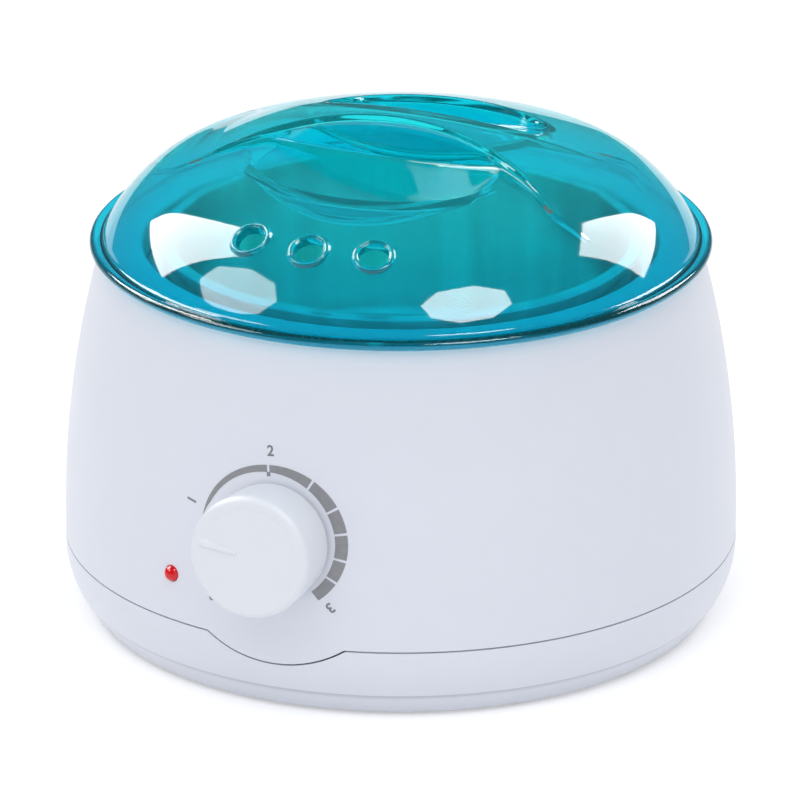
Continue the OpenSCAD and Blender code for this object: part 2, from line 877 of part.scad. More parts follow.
// Part of a ring with a slot cut at the back
module slotted_ring(r0, r1, z0, z1, slot) {
  difference() {
    ring(r0, r1, z0, z1);
    translate([-slot / 2, 0, z0 - 1]) cube([slot, far / 2, z1 - z0 + 2]);
  }
}

module heater_band() color("tan") {
  slotted_ring(cup_out_r + snug, strap_in_r, heater_z, heater_z + heater_h, 6);
}

module clamp_strap() color("silver") {
  out_r = strap_in_r + strap_t;
  slot = 5;
  slotted_ring(strap_in_r, out_r, strap_z, strap_z + strap_h, slot);
  for (s = [-1, 1]) difference() {
    translate([s * (slot / 2 + 0.5) - 0.5, strap_in_r + 0.1, strap_z]) {
      cube([1, strap_lug, strap_h]);
    }
    translate([0, strap_in_r + strap_lug - 2.5, strap_z + strap_h / 2]) rotate([0, 90, 0]) {
      cylinder(r = screw_r + 0.1, h = 20, center = true);
    }
  }
}

module strap_screw() color("dimgray") {
  translate([3.5, strap_in_r + strap_lug - 2.5, strap_z + strap_h / 2]) {
    rotate([0, 90, 0]) pan_screw(11, 2.4, 1.6);
    translate([-9.4, 0, 0]) rotate([0, 90, 0]) difference() {
      cylinder(r = 2.8, h = 2.2, $fn = 6);
      translate([0, 0, -1]) cylinder(r = screw_r - 0.01, h = 5);
    }
  }
}

module insulation_sleeve() color("khaki") {
  slotted_ring(felt_in_r, felt_in_r + felt_t, heater_z - felt_over,
               heater_z + heater_h + felt_over, felt_slot);
}

module heat_shield() color("silver") {
  difference() {
    ring(0, shield_r, shield_z, shield_z + shield_t);
    at_angles(shield_angles, shield_post_r) {
      translate([0, 0, shield_z - 1]) cylinder(r = screw_r + 0.3, h = shield_t + 2);
    }
  }
}

module shield_screws() color("silver") {
  at_angles(shield_angles, shield_post_r) {
    translate([0, 0, shield_z + shield_t]) pan_screw(shield_screw);
  }
}

// Knob and thermostat

module thermostat() color("dimgray") {
  on_knob_axis() difference() {
    union() {
      translate([0, 0, -pad_h - stat_depth]) cylinder(r = stat_r, h = stat_depth);
      translate([0, 0, -pad_h - 0.1]) cylinder(r = bush_r, h = pad_h + bush_h + 0.1);
      for (s = [-1, 1]) translate([s * tab_out - 0.4, -stat_r - tab_len, -pad_h - 0.76 * stat_depth]) {
        cube([0.8, tab_len + 1, stat_depth / 2]);
      }
    }
    translate([0, 0, spindle_root - 0.3]) cylinder(r = spindle_r + spindle_fit, h = 40);
  }
}

module thermostat_nut() color("silver") {
  on_knob_axis() difference() {
    cylinder(r = nut_w / 2 / cos(30), h = nut_h, $fn = 6);
    translate([0, 0, -1]) cylinder(r = bush_r + 0.05, h = nut_h + 2);
  }
}

// Spindle's section: round with one flat, made larger by grow
module spindle_rod(h0, h1, flat_h0, grow = 0) {
  difference() {
    translate([0, 0, h0]) cylinder(r = spindle_r + grow, h = h1 - h0);
    translate([spindle_r - spindle_flat + grow, -10, flat_h0]) cube([10, 20, 40]);
  }
}

module spindle() color("silver") {
  on_knob_axis() rotate([0, 0, knob_rest]) {
    spindle_rod(spindle_root, spindle_end, hub_h0 + 0.5);
  }
}

// Half section of the knob's outside
module knob_half() {
  shoulder_h = knob_top - knob_round;
  difference() {
    polygon([
      [0, knob_gap], [knob_back_r, knob_gap], [knob_face_r, shoulder_h],
      [knob_face_r, knob_top], [0, knob_top]
    ]);
    corner_off(knob_face_r, knob_top, knob_round, 1, 1);
    strip(-1, knob_dish_r, knob_top - knob_dish, knob_top + 1);
  }
}

// Raised pointer in the dished face, wider towards the edge
module knob_pointer() {
  in_r = 4;
  translate([0, 0, knob_top - knob_dish - 0.2]) linear_extrude(knob_dish + 0.5) {
    polygon([
      [in_r, 0.5], [in_r, -0.5], [knob_dish_r + 0.3, -pointer_w / 2], [knob_dish_r + 0.3, pointer_w / 2]
    ]);
  }
}

module knob() color("white") {
  on_knob_axis() rotate([0, 0, knob_rest]) difference() {
    union() {
      difference() {
        rotate_extrude() knob_half();
        translate([0, 0, -1]) cylinder(r = knob_back_r - knob_wall, h = knob_in_top + 1);
      }
      translate([0, 0, hub_h0]) cylinder(r = hub_r, h = knob_in_top - hub_h0 + 0.1);
      for (a = [60, 180, 300]) rotate([0, 0, a]) {
        translate([hub_r - 0.5, -0.6, knob_in_top - 5]) {
          cube([knob_back_r - knob_wall - hub_r + 1, 1.2, 5.1]);
        }
      }
      knob_pointer();
    }
    spindle_rod(hub_h0 - 1, spindle_end + 0.2, hub_h0 + 0.4, 0.02);
  }
}

module knob_clip() color("silver") {
  on_knob_axis() rotate([0, 0, knob_rest]) {
    translate([0, 0, hub_h0 + 0.5]) difference() {
      cylinder(r = hub_r + hub_clip_t, h = hub_clip_h);
      translate([0, 0, -1]) cylinder(r = hub_r + 0.02, h = hub_clip_h + 2);
      translate([-2 * hub_r, -1.5, -1]) cube([2 * hub_r, 3, hub_clip_h + 2]);
    }
  }
}

module sensor_bulb() color("peru") {
  back_h = -pad_h - stat_depth;
  tube_y = -0.64 * stat_r;
  translate(bulb_at) rotate([0, 90, 0]) cylinder(r = bulb_r, h = 2 * bulb_half, center = true);
  pipe([
    bulb_at + [bulb_half - 0.5, 0, 0], bulb_at + [1.33 * bulb_half, 0, 0], under_pt(0.486, -28, 0.18),
    under_pt(0.611, -53, 0.27), under_pt(0.874, -79, 0.4), knob_pt(0, tube_y, back_h - 8),
    knob_pt(0, tube_y, back_h)
  ], tube_r);
}

// Saddle that holds a round piece of radius r against the cup's floor
module saddle(r) {
  half_y = r + clip_t;
  difference() {
    union() {
      rotate([0, 90, 0]) cylinder(r = half_y, h = clip_w, center = true);
      translate([-clip_w / 2, -half_y, 0]) cube([clip_w, 2 * half_y, r]);
      translate([-clip_w / 2, -half_y - clip_foot, r - clip_t]) {
        cube([clip_w, 2 * (half_y + clip_foot), clip_t]);
      }
    }
    rotate([0, 90, 0]) cylinder(r = r + 0.03, h = clip_w + 2, center = true);
    translate([-clip_w / 2 - 1, -r - 0.03, 0]) cube([clip_w + 2, 2 * r + 0.06, r + 1]);
    translate([-clip_w / 2 - 1, -r - 1, r]) cube([clip_w + 2, 2 * r + 2, 2]);
  }
}

module sensor_clips() color("silver") {
  translate(bulb_at) saddle(bulb_r);
  translate(fuse_at) saddle(fuse_r);
}

module thermal_fuse() color("whitesmoke") {
  translate(fuse_at) rotate([0, 90, 0]) {
    cylinder(r = fuse_r, h = fuse_len, center = true);
    cylinder(r = fuse_r / 5, h = 1.6 * fuse_len, center = true);
  }
}

// Pilot lamp

module pilot_lamp() color("red") {
  tip = lamp_out - lamp_r;
  on_lamp_axis() {
    translate([0, 0, tip]) sphere(r = lamp_r);
    translate([0, 0, -lamp_pad - 2]) cylinder(r = lamp_r, h = lamp_pad + 2 + tip);
    translate([0, 0, -lamp_pad - 3]) cylinder(r = lamp_r + 0.4, h = 1);
    for (s = [-1, 1]) translate([s * lamp_r / 2, 0, -board_in]) {
      cylinder(r = lamp_r / 8, h = board_in - lamp_pad - 2.9);
    }
  }
}

module lamp_holder() color("black") {
  on_lamp_axis() difference() {
    translate([0, 0, -lamp_pad - 4]) cylinder(r = lamp_holder_r, h = 4);
    translate([0, 0, -lamp_pad - 5]) cylinder(r = lamp_r + 0.5, h = 3.05);
    translate([0, 0, -lamp_pad - 5]) cylinder(r = lamp_r + 0.05, h = 6);
  }
}

module lamp_board() color("seagreen") {
  on_lamp_axis() translate([-board_w / 2, -board_h / 2, -board_in - board_t]) {
    cube([board_w, board_h, board_t]);
  }
}

module lamp_resistor() color("burlywood") {
  lead = resistor_r / 3;
  end = resistor_len / 2;
  reach = end + 1.8;
  on_lamp_axis() translate([0, -0.3 * board_h, -board_in - board_t - resistor_r - 0.2]) {
    rotate([0, 90, 0]) cylinder(r = resistor_r, h = resistor_len, center = true);
    for (s = [-1, 1]) {
      translate([s * (end - 0.3), 0, 0]) rotate([0, s * 90, 0]) cylinder(r = lead, h = 2.4);
      translate([s * (reach - 0.05), 0, 0]) cylinder(r = lead, h = resistor_r + 0.2);
    }
  }
}

// Mains side

module terminal_block() color("ivory") {
  translate([block_at[0], block_at[1], floor_top]) difference() {
    translate([-block_size[0] / 2, -block_size[1] / 2, 0]) cube(block_size);
    for (i = [-1, 0, 1]) translate([i * block_pitch, 0, 0]) {
      for (s = [-1, 1]) translate([0, s * 0.28 * block_w, 0.65 * block_h]) {
        cylinder(r = block_pitch / 5, h = block_h);
      }
      translate([0, 0, block_h / 2]) rotate([90, 0, 0]) {
        cylinder(r = 0.16 * block_pitch, h = 2 * block_w, center = true);
      }
    }
  }
}

module cord_inlet() color("black") {
  on_inlet_axis() difference() {
    union() {
      cylinder(r1 = inlet_flange_r, r2 = inlet_flange_r - 0.8, h = inlet_flange_t);
      translate([0, 0, -inlet_len]) cylinder(r = inlet_r, h = inlet_len + 0.1);
      translate([0, 0, -inlet_pad - 1.5]) cylinder(r = inlet_r + 0.8, h = 1.4);
    }
    translate([0, 0, -inlet_len - 1]) cylinder(r = inlet_bore_r, h = inlet_len + 5);
  }
}

module cord_clamp() color("black") {
  difference() {
    translate([-clamp_end, clamp_y - clamp_w / 2, clamp_z]) cube([2 * clamp_end, clamp_w, clamp_t]);
    cord_way();
    for (s = [-1, 1]) translate([s * clamp_half, clamp_y, clamp_z - 1]) {
      cylinder(r = screw_r + 0.3, h = clamp_t + 2);
    }
  }
}

module clamp_screws() color("silver") {
  for (s = [-1, 1]) translate([s * clamp_half, clamp_y, clamp_z + clamp_t]) pan_screw(clamp_screw);
}

module lead_wires() color("crimson") {
  hole = [block_at[0], block_at[1] - block_w / 2, wire_z];
  near = [0, block_w / 4, 0];
  off = [0, -block_w / 3, 0];
  side = [block_pitch, 0, 0];
  lead = wire_way * [sin(wire_a), -cos(wire_a)];
  low_z = cup_z - 0.18 * (cup_z - shield_z);
  tab_y = -stat_r - tab_len;
  tab_h = -pad_h - stat_depth / 2;
  // block to thermostat
  pipe([
    hole + side + near, hole + side + off, base_pt(0.653, 7, 0.27), base_pt(0.844, -25, 0.4),
    base_pt(0.815, -75, 0.68), knob_pt(tab_out, tab_y - 6, tab_h), knob_pt(tab_out, tab_y, tab_h)
  ], wire_r);
  // block to lamp
  pipe([
    hole - side + near, hole - side + off, base_pt(0.12, -80, 0.11), base_pt(0.677, -116, 0.27),
    lamp_pt(3, 0, -2 * board_in), lamp_pt(3, 0, -board_in - board_t)
  ], wire_r);
  // thermostat to heater
  pipe([
    knob_pt(-tab_out, tab_y, tab_h), knob_pt(-tab_out, tab_y - 6, tab_h),
    under_pt(1.169, -102, 0.73), [-lead[0], lead[1], low_z], [-lead[0], lead[1], heater_z]
  ], wire_r);
  // heater back to block
  pipe([
    [lead[0], lead[1], heater_z], [lead[0], lead[1], low_z], under_pt(1.149, -55, 0.82),
    base_pt(0.74, -11, 0.68), base_pt(0.491, 16, 0.11), hole + off + off / 3, hole + near
  ], wire_r);
}

lid();
inner_pot();
upper_housing();
lower_housing();
foot_ring();
base_screws();
heating_well();
well_gasket();
well_screws();
heater_band();
clamp_strap();
strap_screw();
insulation_sleeve();
heat_shield();
shield_screws();
thermostat();
thermostat_nut();
spindle();
knob();
knob_clip();
sensor_bulb();
sensor_clips();
thermal_fuse();
pilot_lamp();
lamp_holder();
lamp_board();
lamp_resistor();
terminal_block();
cord_inlet();
cord_clamp();
clamp_screws();
lead_wires();
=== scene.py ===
"""Looks of the round wax warmer: finishes for every solid, and the finer pieces that are drawn here."""

import json
import logging
import math
from collections.abc import Callable
from dataclasses import dataclass
from enum import Enum

import bpy
import numpy as np
from mathutils import Matrix, Vector


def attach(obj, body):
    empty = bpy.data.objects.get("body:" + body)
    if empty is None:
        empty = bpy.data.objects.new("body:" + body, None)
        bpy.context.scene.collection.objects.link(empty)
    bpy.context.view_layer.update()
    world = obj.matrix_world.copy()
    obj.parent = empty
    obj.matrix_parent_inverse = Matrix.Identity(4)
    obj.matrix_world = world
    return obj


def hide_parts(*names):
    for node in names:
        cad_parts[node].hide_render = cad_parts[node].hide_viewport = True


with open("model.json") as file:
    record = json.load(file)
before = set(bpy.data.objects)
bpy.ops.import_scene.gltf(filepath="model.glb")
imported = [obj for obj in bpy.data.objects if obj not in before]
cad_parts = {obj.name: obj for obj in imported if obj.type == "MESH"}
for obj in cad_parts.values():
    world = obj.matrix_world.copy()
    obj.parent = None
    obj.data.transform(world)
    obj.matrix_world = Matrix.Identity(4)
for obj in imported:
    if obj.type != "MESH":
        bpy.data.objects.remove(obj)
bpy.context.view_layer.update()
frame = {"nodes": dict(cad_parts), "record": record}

MM = 0.001
NOISE_ENDS = (0.3, 0.7)
# heights above a step, in millimetres, over which the painted shade under it ends
PAINTED_SHADE_END = (0.29, 0.31)
log = logging.getLogger("wax_warmer")

Pair = tuple[float, float]
Colour = tuple[float, float, float]
Profile = list[Pair]
Fixed = tuple[tuple[str, float], ...]
Piece = bpy.types.Object
Socket = bpy.types.NodeSocket


def rgb(red: int, green: int, blue: int) -> Colour:
    """Turns a colour written as 0 to 255 on the screen into the linear one that the renderer uses."""
    parts = (red / 255, green / 255, blue / 255)
    return tuple(c / 12.92 if c <= 0.04045 else ((c + 0.055) / 1.055) ** 2.4 for c in parts)


def shade(colour: Colour, factor: float) -> Colour:
    """Makes a colour lighter or darker, and holds it below 1."""
    return tuple(min(c * factor, 1.0) for c in colour)


def arc(cx: float, cz: float, r: float, start: float, end: float, count: int) -> Profile:
    """Points of an arc round (cx, cz) in a profile, between two angles in degrees, counted from outwards."""
    angles = (math.radians(start + (end - start) * i / (count - 1)) for i in range(count))
    return [(cx + r * math.cos(a), cz + r * math.sin(a)) for a in angles]


# Sizes that the solids have too


@dataclass(frozen=True)
class WarmerSizes:
    """Main sizes of the solids in millimetres, which the pieces drawn here are set against."""

    body_r: float = 101.8
    waist_z: float = 29.2
    side_arc_r: float = 315.0
    knob_z: float = 55.8
    knob_gap: float = 0.9
    knob_h: float = 18.9
    knob_rest: float = 170.0
    rim_z: float = 114.3

    def side_r(self, z: float) -> float:
        """Radius of the housing's side at a height above its widest line."""
        return self.body_r - self.side_arc_r + math.sqrt(self.side_arc_r**2 - (z - self.waist_z) ** 2)

    @property
    def knob_tilt(self) -> float:
        """Angle by which the knob's axis points up, in radians."""
        return math.asin((self.knob_z - self.waist_z) / self.side_arc_r)

    @property
    def knob_seat(self) -> Vector:
        """Point where the knob's axis leaves the wall, in millimetres."""
        return Vector((0, -self.side_r(self.knob_z), self.knob_z))

    def knob_frame(self) -> Matrix:
        """Place of the knob's own frame in metres: +X right, +Y up, +Z out of the wall."""
        return Matrix.Translation(self.knob_seat * MM) @ Matrix.Rotation(math.pi / 2 - self.knob_tilt, 4, "X")

    def on_wall(self, x: float, y: float, lift: float) -> Vector:
        """Drops a point of the dial onto the wall along the knob's axis.

        Args:
            x: Distance to the right of the knob's axis, in millimetres.
            y: Distance above it.
            lift: How far the point stands off the wall.

        Returns:
            The point in metres, in the warmer's frame.
        """
        tilt = self.knob_tilt
        outward = Vector((0, -math.cos(tilt), math.sin(tilt)))
        upward = Vector((0, math.sin(tilt), math.cos(tilt)))
        start = self.knob_seat + x * Vector((1, 0, 0)) + y * upward
        low, high = -20.0, 5.0
        for _ in range(40):
            mid = (low + high) / 2
            p = start + mid * outward
            if math.hypot(p.x, p.y) > self.side_r(p.z):
                high = mid
            else:
                low = mid
        p = start + low * outward
        slope = math.asin((p.z - self.waist_z) / self.side_arc_r)
        r = math.hypot(p.x, p.y)
        normal = Vector((p.x / r * math.cos(slope), p.y / r * math.cos(slope), math.sin(slope)))
        return (p + lift * normal) * MM


SIZES = WarmerSizes()


# Finishes


class Nodes:
    """A node tree, with short ways to add and link its nodes."""

    def __init__(self, tree: bpy.types.NodeTree) -> None:
        """Takes up a tree."""
        self.nodes, self.links = tree.nodes, tree.links

    def feed(self, target: Socket, value: object) -> None:
        """Sets a socket, or links it.

        Args:
            target: The socket.
            value: A number, a colour or another node's output.
        """
        if isinstance(value, Socket):
            self.links.new(value, target)
        else:
            target.default_value = (*value, 1.0) if target.type == "RGBA" else value

    def add(self, kind: str, inputs: dict[str | int, object], **options: object) -> bpy.types.Node:
        """Adds a node.

        Args:
            kind: Kind of node, without the words that all kinds start with.
            inputs: What goes into its sockets, by their names or numbers.
            options: Its other settings.

        Returns:
            The node.
        """
        node = self.nodes.new(f"ShaderNode{kind}")
        for name, value in options.items():
            setattr(node, name, value)
        for key, value in inputs.items():
            self.feed(node.inputs[key], value)
        return node

    def math(self, operation: str, first: Socket, second: Socket, clamp: bool = False) -> Socket:
        """Works out one value from two; a clamped one stays between 0 and 1."""
        return self.add("Math", {0: first, 1: second}, operation=operation, use_clamp=clamp).outputs[0]

    def rays(self, *kinds: str) -> Socket:
        """Tells rays of some kinds from others.

        Args:
            kinds: The kinds, as the Light Path node names them.

        Returns:
            1 for rays of those kinds, and 0 for others.
        """
        path = self.add("LightPath", {}).outputs
        seen = path[f"Is {kinds[0]} Ray"]
        for kind in kinds[1:]:
            seen = self.math("MAXIMUM", seen, path[f"Is {kind} Ray"])
        return seen


class Graph(Nodes):
    """Node tree of one material, with the few nodes that the finishes share."""

    def __init__(self, name: str) -> None:
        """Starts a material with its own shader.

        Args:
            name: Name of the material.
        """
        self.material = bpy.data.materials.new(name)
        self.material.use_nodes = True
        super().__init__(self.material.node_tree)
        self.shader = self.nodes["Principled BSDF"]
        self.coords = self.add("TexCoord", {}).outputs["Object"]
        self.drawn: dict["Grain", Socket] = {}

    def put(self, socket: str, value: object) -> None:
        """Sets or links one socket of the shader."""
        self.feed(self.shader.inputs[socket], value)

    def show(self, surface: Socket) -> None:
        """Shows another surface than the shader's."""
        self.feed(self.nodes["Material Output"].inputs["Surface"], surface)

    def scaled(self, x: float, y: float, z: float) -> Socket:
        """Object coordinates stretched by a factor along each axis."""
        return self.add("Mapping", {"Scale": (x, y, z), "Vector": self.coords}).outputs["Vector"]

    def noise(self, scale: float, detail: float = 3.0, at: Socket | None = None) -> Socket:
        """Noise with so many grains a metre and finer layers, at the object's own coordinates or at others."""
        return self.add("TexNoise", {"Scale": scale, "Detail": detail, "Vector": at or self.coords}).outputs["Fac"]

    def spread(self, value: Socket, low: float, high: float) -> Socket:
        """Spreads a noise value over a range, whose ends the noise's usual ends give."""
        ends = {"From Min": NOISE_ENDS[0], "From Max": NOISE_ENDS[1], "To Min": low, "To Max": high}
        return self.add("MapRange", {"Value": value, **ends}).outputs["Result"]

    def blend(self, value: Socket, first: Colour, second: Colour) -> Socket:
        """Runs between two colours with a noise value.

        Args:
            value: Noise.
            first: Colour at its usual low end.
            second: Colour at its usual high end.

        Returns:
            The colour.
        """
        node = self.add("ValToRGB", {"Fac": value})
        for element, position, colour in zip(node.color_ramp.elements, NOISE_ENDS, (first, second)):
            element.position = position
            element.color = (*colour, 1)
        return node.outputs["Color"]

    def mixed(self, share: Socket, first: Socket | Colour, second: Colour) -> Socket:
        """Mixes two colours by a share.

        Args:
            share: Share of the second colour.
            first: Colour at 0.
            second: Colour at 1.

        Returns:
            The colour.
        """
        mix = self.add("Mix", {"Factor": share}, data_type="RGBA")
        for target, colour in zip((s for s in mix.inputs if s.type == "RGBA"), (first, second)):
            self.feed(target, colour)
        return next(s for s in mix.outputs if s.type == "RGBA")

    def parts(self, at: Socket) -> bpy.types.NodeOutputs:
        """Splits coordinates into their three parts."""
        return self.add("SeparateXYZ", {"Vector": at}).outputs

    def joined(self, **parts: Socket) -> Socket:
        """Joins parts into coordinates."""
        return self.add("CombineXYZ", parts).outputs["Vector"]

    def height(self, low: float, high: float) -> Socket:
        """Share that rises softly from 0 to 1 between two heights in millimetres."""
        ends = {"Value": self.parts(self.coords)["Z"], "From Min": low * MM, "From Max": high * MM}
        return self.add("MapRange", ends, interpolation_type="SMOOTHSTEP").outputs["Result"]

    def painted_shade_under_step(self, low: float, high: float) -> Socket:
        """Share of painted shade that rises from a low height to that of a step round the piece, and is 0 above the
        step.
        """
        above = self.height(*(high + lip for lip in PAINTED_SHADE_END))
        return self.math("SUBTRACT", self.height(low, high), above, clamp=True)

    def rings(self) -> Socket:
        """Coordinates that change only with the distance from the axis and with the height.

        Returns:
            The coordinates, for marks that run round a turned piece.
        """
        x, y, z = self.parts(self.coords)
        length = self.add("VectorMath", {0: self.joined(X=x, Y=y)}, operation="LENGTH")
        return self.joined(X=length.outputs["Value"], Z=z)

    def around(self, turns: float, rise: float) -> Socket:
        """Coordinates that change with the direction round the axis, and slowly with the height.

        Args:
            turns: Radius of the circle on which the direction is laid out.
            rise: Factor on the height.

        Returns:
            The coordinates, for marks and painted reflection bands that stand upright on a round wall.
        """
        x, y, z = self.parts(self.scaled(1.0, 1.0, rise))
        unit = self.add("VectorMath", {0: self.joined(X=x, Y=y)}, operation="NORMALIZE").outputs["Vector"]
        wide = self.add("VectorMath", {0: unit, "Scale": turns}, operation="SCALE").outputs["Vector"]
        return self.add("VectorMath", {0: wide, 1: self.joined(Z=z)}, operation="ADD").outputs["Vector"]

    def grain(self, grain: "Grain") -> Socket:
        """Gives a grain, which is drawn at its first use.

        Args:
            grain: The grain.

        Returns:
            Its value.
        """
        if grain not in self.drawn:
            self.drawn[grain] = grain.draw(self)
        return self.drawn[grain]

    def relief(self, height: Socket, depth: float, strength: float) -> None:
        """Gives the surface a relief of a depth in millimetres, of which a strength of 1 counts in full."""
        bump = self.add("Bump", {"Distance": depth * MM, "Strength": strength, "Height": height})
        self.put("Normal", bump.outputs["Normal"])


class Run(Enum):
    """Way in which a grain runs."""

    EVEN = "even"
    STRETCHED = "stretched along the axes"
    RINGS = "round the axis"
    UPRIGHT = "upright on a round wall"
    FIBRES = "crossing fibres"
    CELLS = "flakes"
    WEAVE = "woven"


@dataclass(frozen=True)
class Grain:
    """Fine pattern of a surface: grains a metre, finer layers, and the way that it runs, with its factors."""

    scale: float
    layers: float = 3.0
    run: Run = Run.EVEN
    ways: tuple[float, ...] = ()

    def draw(self, g: Graph) -> Socket:
        """Draws the pattern.

        Args:
            g: Nodes of the material.

        Returns:
            Its value.
        """
        if self.run is Run.CELLS:
            return g.add("TexVoronoi", {"Scale": self.scale, "Vector": g.coords}).outputs["Distance"]
        if self.run is Run.WEAVE:
            inputs = {"Scale": self.scale, "Distortion": self.ways[0], "Vector": g.coords}
            return g.add("TexWave", inputs, wave_type="BANDS", bands_direction="DIAGONAL").outputs["Fac"]
        if self.run is Run.FIBRES:
            flat, upright = self.ways
            along = g.noise(self.scale, self.layers, g.scaled(1.0, 1.0, flat))
            return g.math("MAXIMUM", along, g.noise(self.scale, self.layers, g.scaled(upright, upright, 1.0)))
        places = {Run.STRETCHED: g.scaled, Run.RINGS: g.rings, Run.UPRIGHT: g.around}
        at = places[self.run](*self.ways) if self.run in places else None
        return g.noise(self.scale, self.layers, at)


@dataclass(frozen=True)
class Finish:
    """A finish that one slot of the record takes.

    The colour runs between two shades with the tone's grain, and the roughness round the gloss with the skin's.
    The relief has the grain of the bumps, or the skin's. Fixed values go to the shader as they are.
    """

    colour: Colour
    gloss: float = 0.5
    uneven: Pair = (0.0, 0.0)
    tone: Grain = Grain(100.0)
    shades: Pair = (0.9, 1.1)
    skin: Grain | None = None
    bumps: Grain | None = None
    depth: float = 0.02
    strength: float = 1.0
    fixed: Fixed = ()

    def paint(self, g: Graph) -> Socket | Colour:
        """Gives the colour of a material made with the nodes g."""
        dark, light = (shade(self.colour, factor) for factor in self.shades)
        return g.blend(g.grain(self.tone), dark, light)

    def build(self, name: str) -> bpy.types.Material:
        """Makes the material.

        Args:
            name: Its name.

        Returns:
            The material.
        """
        g = Graph(name)
        g.put("Base Color", self.paint(g))
        smooth, dull = (self.gloss + part for part in self.uneven)
        g.put("Roughness", g.spread(g.grain(self.skin), smooth, dull) if self.skin else self.gloss)
        for socket, value in self.fixed:
            g.put(socket, value)
        g.relief(g.grain(self.bumps or self.skin or self.tone), self.depth, self.strength)
        return g.material


@dataclass(frozen=True)
class MouldedPlastic(Finish):
    """Moulded plastic: an even colour, a slightly uneven skin and a faint flow texture.

    Where a step is named, by its two heights and a shade, painted shade darkens the colour a little towards the
    step from below, under its overhang.
    """

    uneven: Pair = (-0.02, 0.04)
    tone: Grain = Grain(225.0)
    shades: Pair = (0.99, 1.0)
    skin: Grain = Grain(40.0)
    bumps: Grain = Grain(900.0, 2.0)
    fixed: Fixed = (("IOR", 1.5),)
    # painted shade under a step: its two heights and the factor on the colour
    step: tuple[float, float, float] | None = None

    def paint(self, g: Graph) -> Socket | Colour:
        """Gives the colour of a material.

        Args:
            g: Nodes of the material.

        Returns:
            The colour.
        """
        colour = super().paint(g)
        if self.step:
            # painted shade: the colour darkens towards the step from below
            low, high, factor = self.step
            colour = g.mixed(g.painted_shade_under_step(low, high), colour, shade(self.colour, factor))
        return colour


@dataclass(frozen=True)
class ClearPlastic(Finish):
    """Tinted see-through plastic with a polished skin; where a crown is named, painted light turns the tint towards
    a lighter colour between two heights.
    """

    uneven: Pair = (-0.01, 0.02)
    skin: Grain = Grain(60.0)
    bumps: Grain = Grain(28.0, 1.0)
    depth: float = 0.05
    strength: float = 0.35
    # painted light: the lighter colour towards the top, and the two heights in millimetres over which it takes over
    crown: tuple[Colour, float, float] | None = None

    def paint(self, g: Graph) -> Socket | Colour:
        """Gives the colour of a material.

        Args:
            g: Nodes of the material.

        Returns:
            The colour.
        """
        if not self.crown:
            return self.colour
        # painted light: the tint turns lighter towards the top of the lid
        lit_tint, low, high = self.crown
        return g.mixed(g.height(low, high), self.colour, lit_tint)


@dataclass(frozen=True)
class TurnedMetal(Finish):
    """Drawn or turned metal with fine marks that run round it."""

    uneven: Pair = (-0.06, 0.1)
    tone: Grain = Grain(14.0)
    shades: Pair = (0.94, 1.04)
    skin: Grain = Grain(2600.0, 4.0, Run.RINGS)
    depth: float = 0.01
    fixed: Fixed = (("Metallic", 1.0),)


@dataclass(frozen=True)
class DrawnMetal(Finish):
    """Deep-drawn sheet: soft upright bands of darker colour, which are painted reflections, and fine upright marks
    that the press leaves on its wall.
    """

    gloss: float = 0.2
    uneven: Pair = (-0.03, 0.04)
    # painted reflections: soft upright bands of darker colour round the pot's wall
    tone: Grain = Grain(1.0, 1.0, Run.UPRIGHT, (7.0, 6.0))
    shades: Pair = (0.74, 1.0)
    skin: Grain = Grain(1.0, 3.0, Run.UPRIGHT, (210.0, 40.0))
    depth: float = 0.004
    fixed: Fixed = (("Metallic", 1.0),)


@dataclass(frozen=True)
class PlatedMetal(Finish):
    """Small metal parts with a cloudy plating and fine scratches."""

    uneven: Pair = (-0.08, 0.14)
    tone: Grain = Grain(220.0, 4.0)
    shades: Pair = (0.86, 1.06)
    skin: Grain = Grain(220.0, 4.0)
    bumps: Grain = Grain(900.0, 2.0, Run.STRETCHED, (1.0, 14.0, 1.0))
    depth: float = 0.01
    fixed: Fixed = (("Metallic", 1.0),)


@dataclass(frozen=True)
class SoftRubber(Finish):
    """Rubber or silicone with a dull, finely pitted skin."""

    gloss: float = 0.6
    uneven: Pair = (-0.08, 0.1)
    tone: Grain = Grain(120.0)
    shades: Pair = (0.85, 1.15)
    skin: Grain = Grain(2400.0)
    depth: float = 0.05
    fixed: Fixed = (("IOR", 1.45), ("Sheen Weight", 0.15))


@dataclass(frozen=True)
class NeedledFibre(Finish):
    """Mat of glass fibres, laid in all directions."""

    gloss: float = 0.95
    tone: Grain = Grain(420.0, 4.0, Run.FIBRES, (9.0, 7.0))
    shades: Pair = (0.72, 1.08)
    depth: float = 0.5
    fixed: Fixed = (("Sheen Weight", 0.4),)


@dataclass(frozen=True)
class LayeredMica(Finish):
    """Pressed mica: flakes of slightly different tone under a dull gloss."""

    gloss: float = 0.35
    uneven: Pair = (0.0, 0.25)
    tone: Grain = Grain(300.0, run=Run.CELLS)
    shades: Pair = (0.7, 1.2)
    skin: Grain = Grain(300.0, run=Run.CELLS)
    depth: float = 0.05


@dataclass(frozen=True)
class FiredCeramic(Finish):
    """Glazed or lacquered ceramic with a few dark specks."""

    gloss: float = 0.22
    uneven: Pair = (0.0, 0.12)
    tone: Grain = Grain(1500.0, 1.0)
    shades: Pair = (0.9, 1.0)
    skin: Grain = Grain(90.0)
    bumps: Grain = Grain(1500.0, 1.0)


@dataclass(frozen=True)
class BoardLaminate(Finish):
    """Circuit board: woven glass under a coloured lacquer."""

    gloss: float = 0.35
    tone: Grain = Grain(420.0, run=Run.WEAVE, ways=(2.0,))
    shades: Pair = (0.8, 1.2)


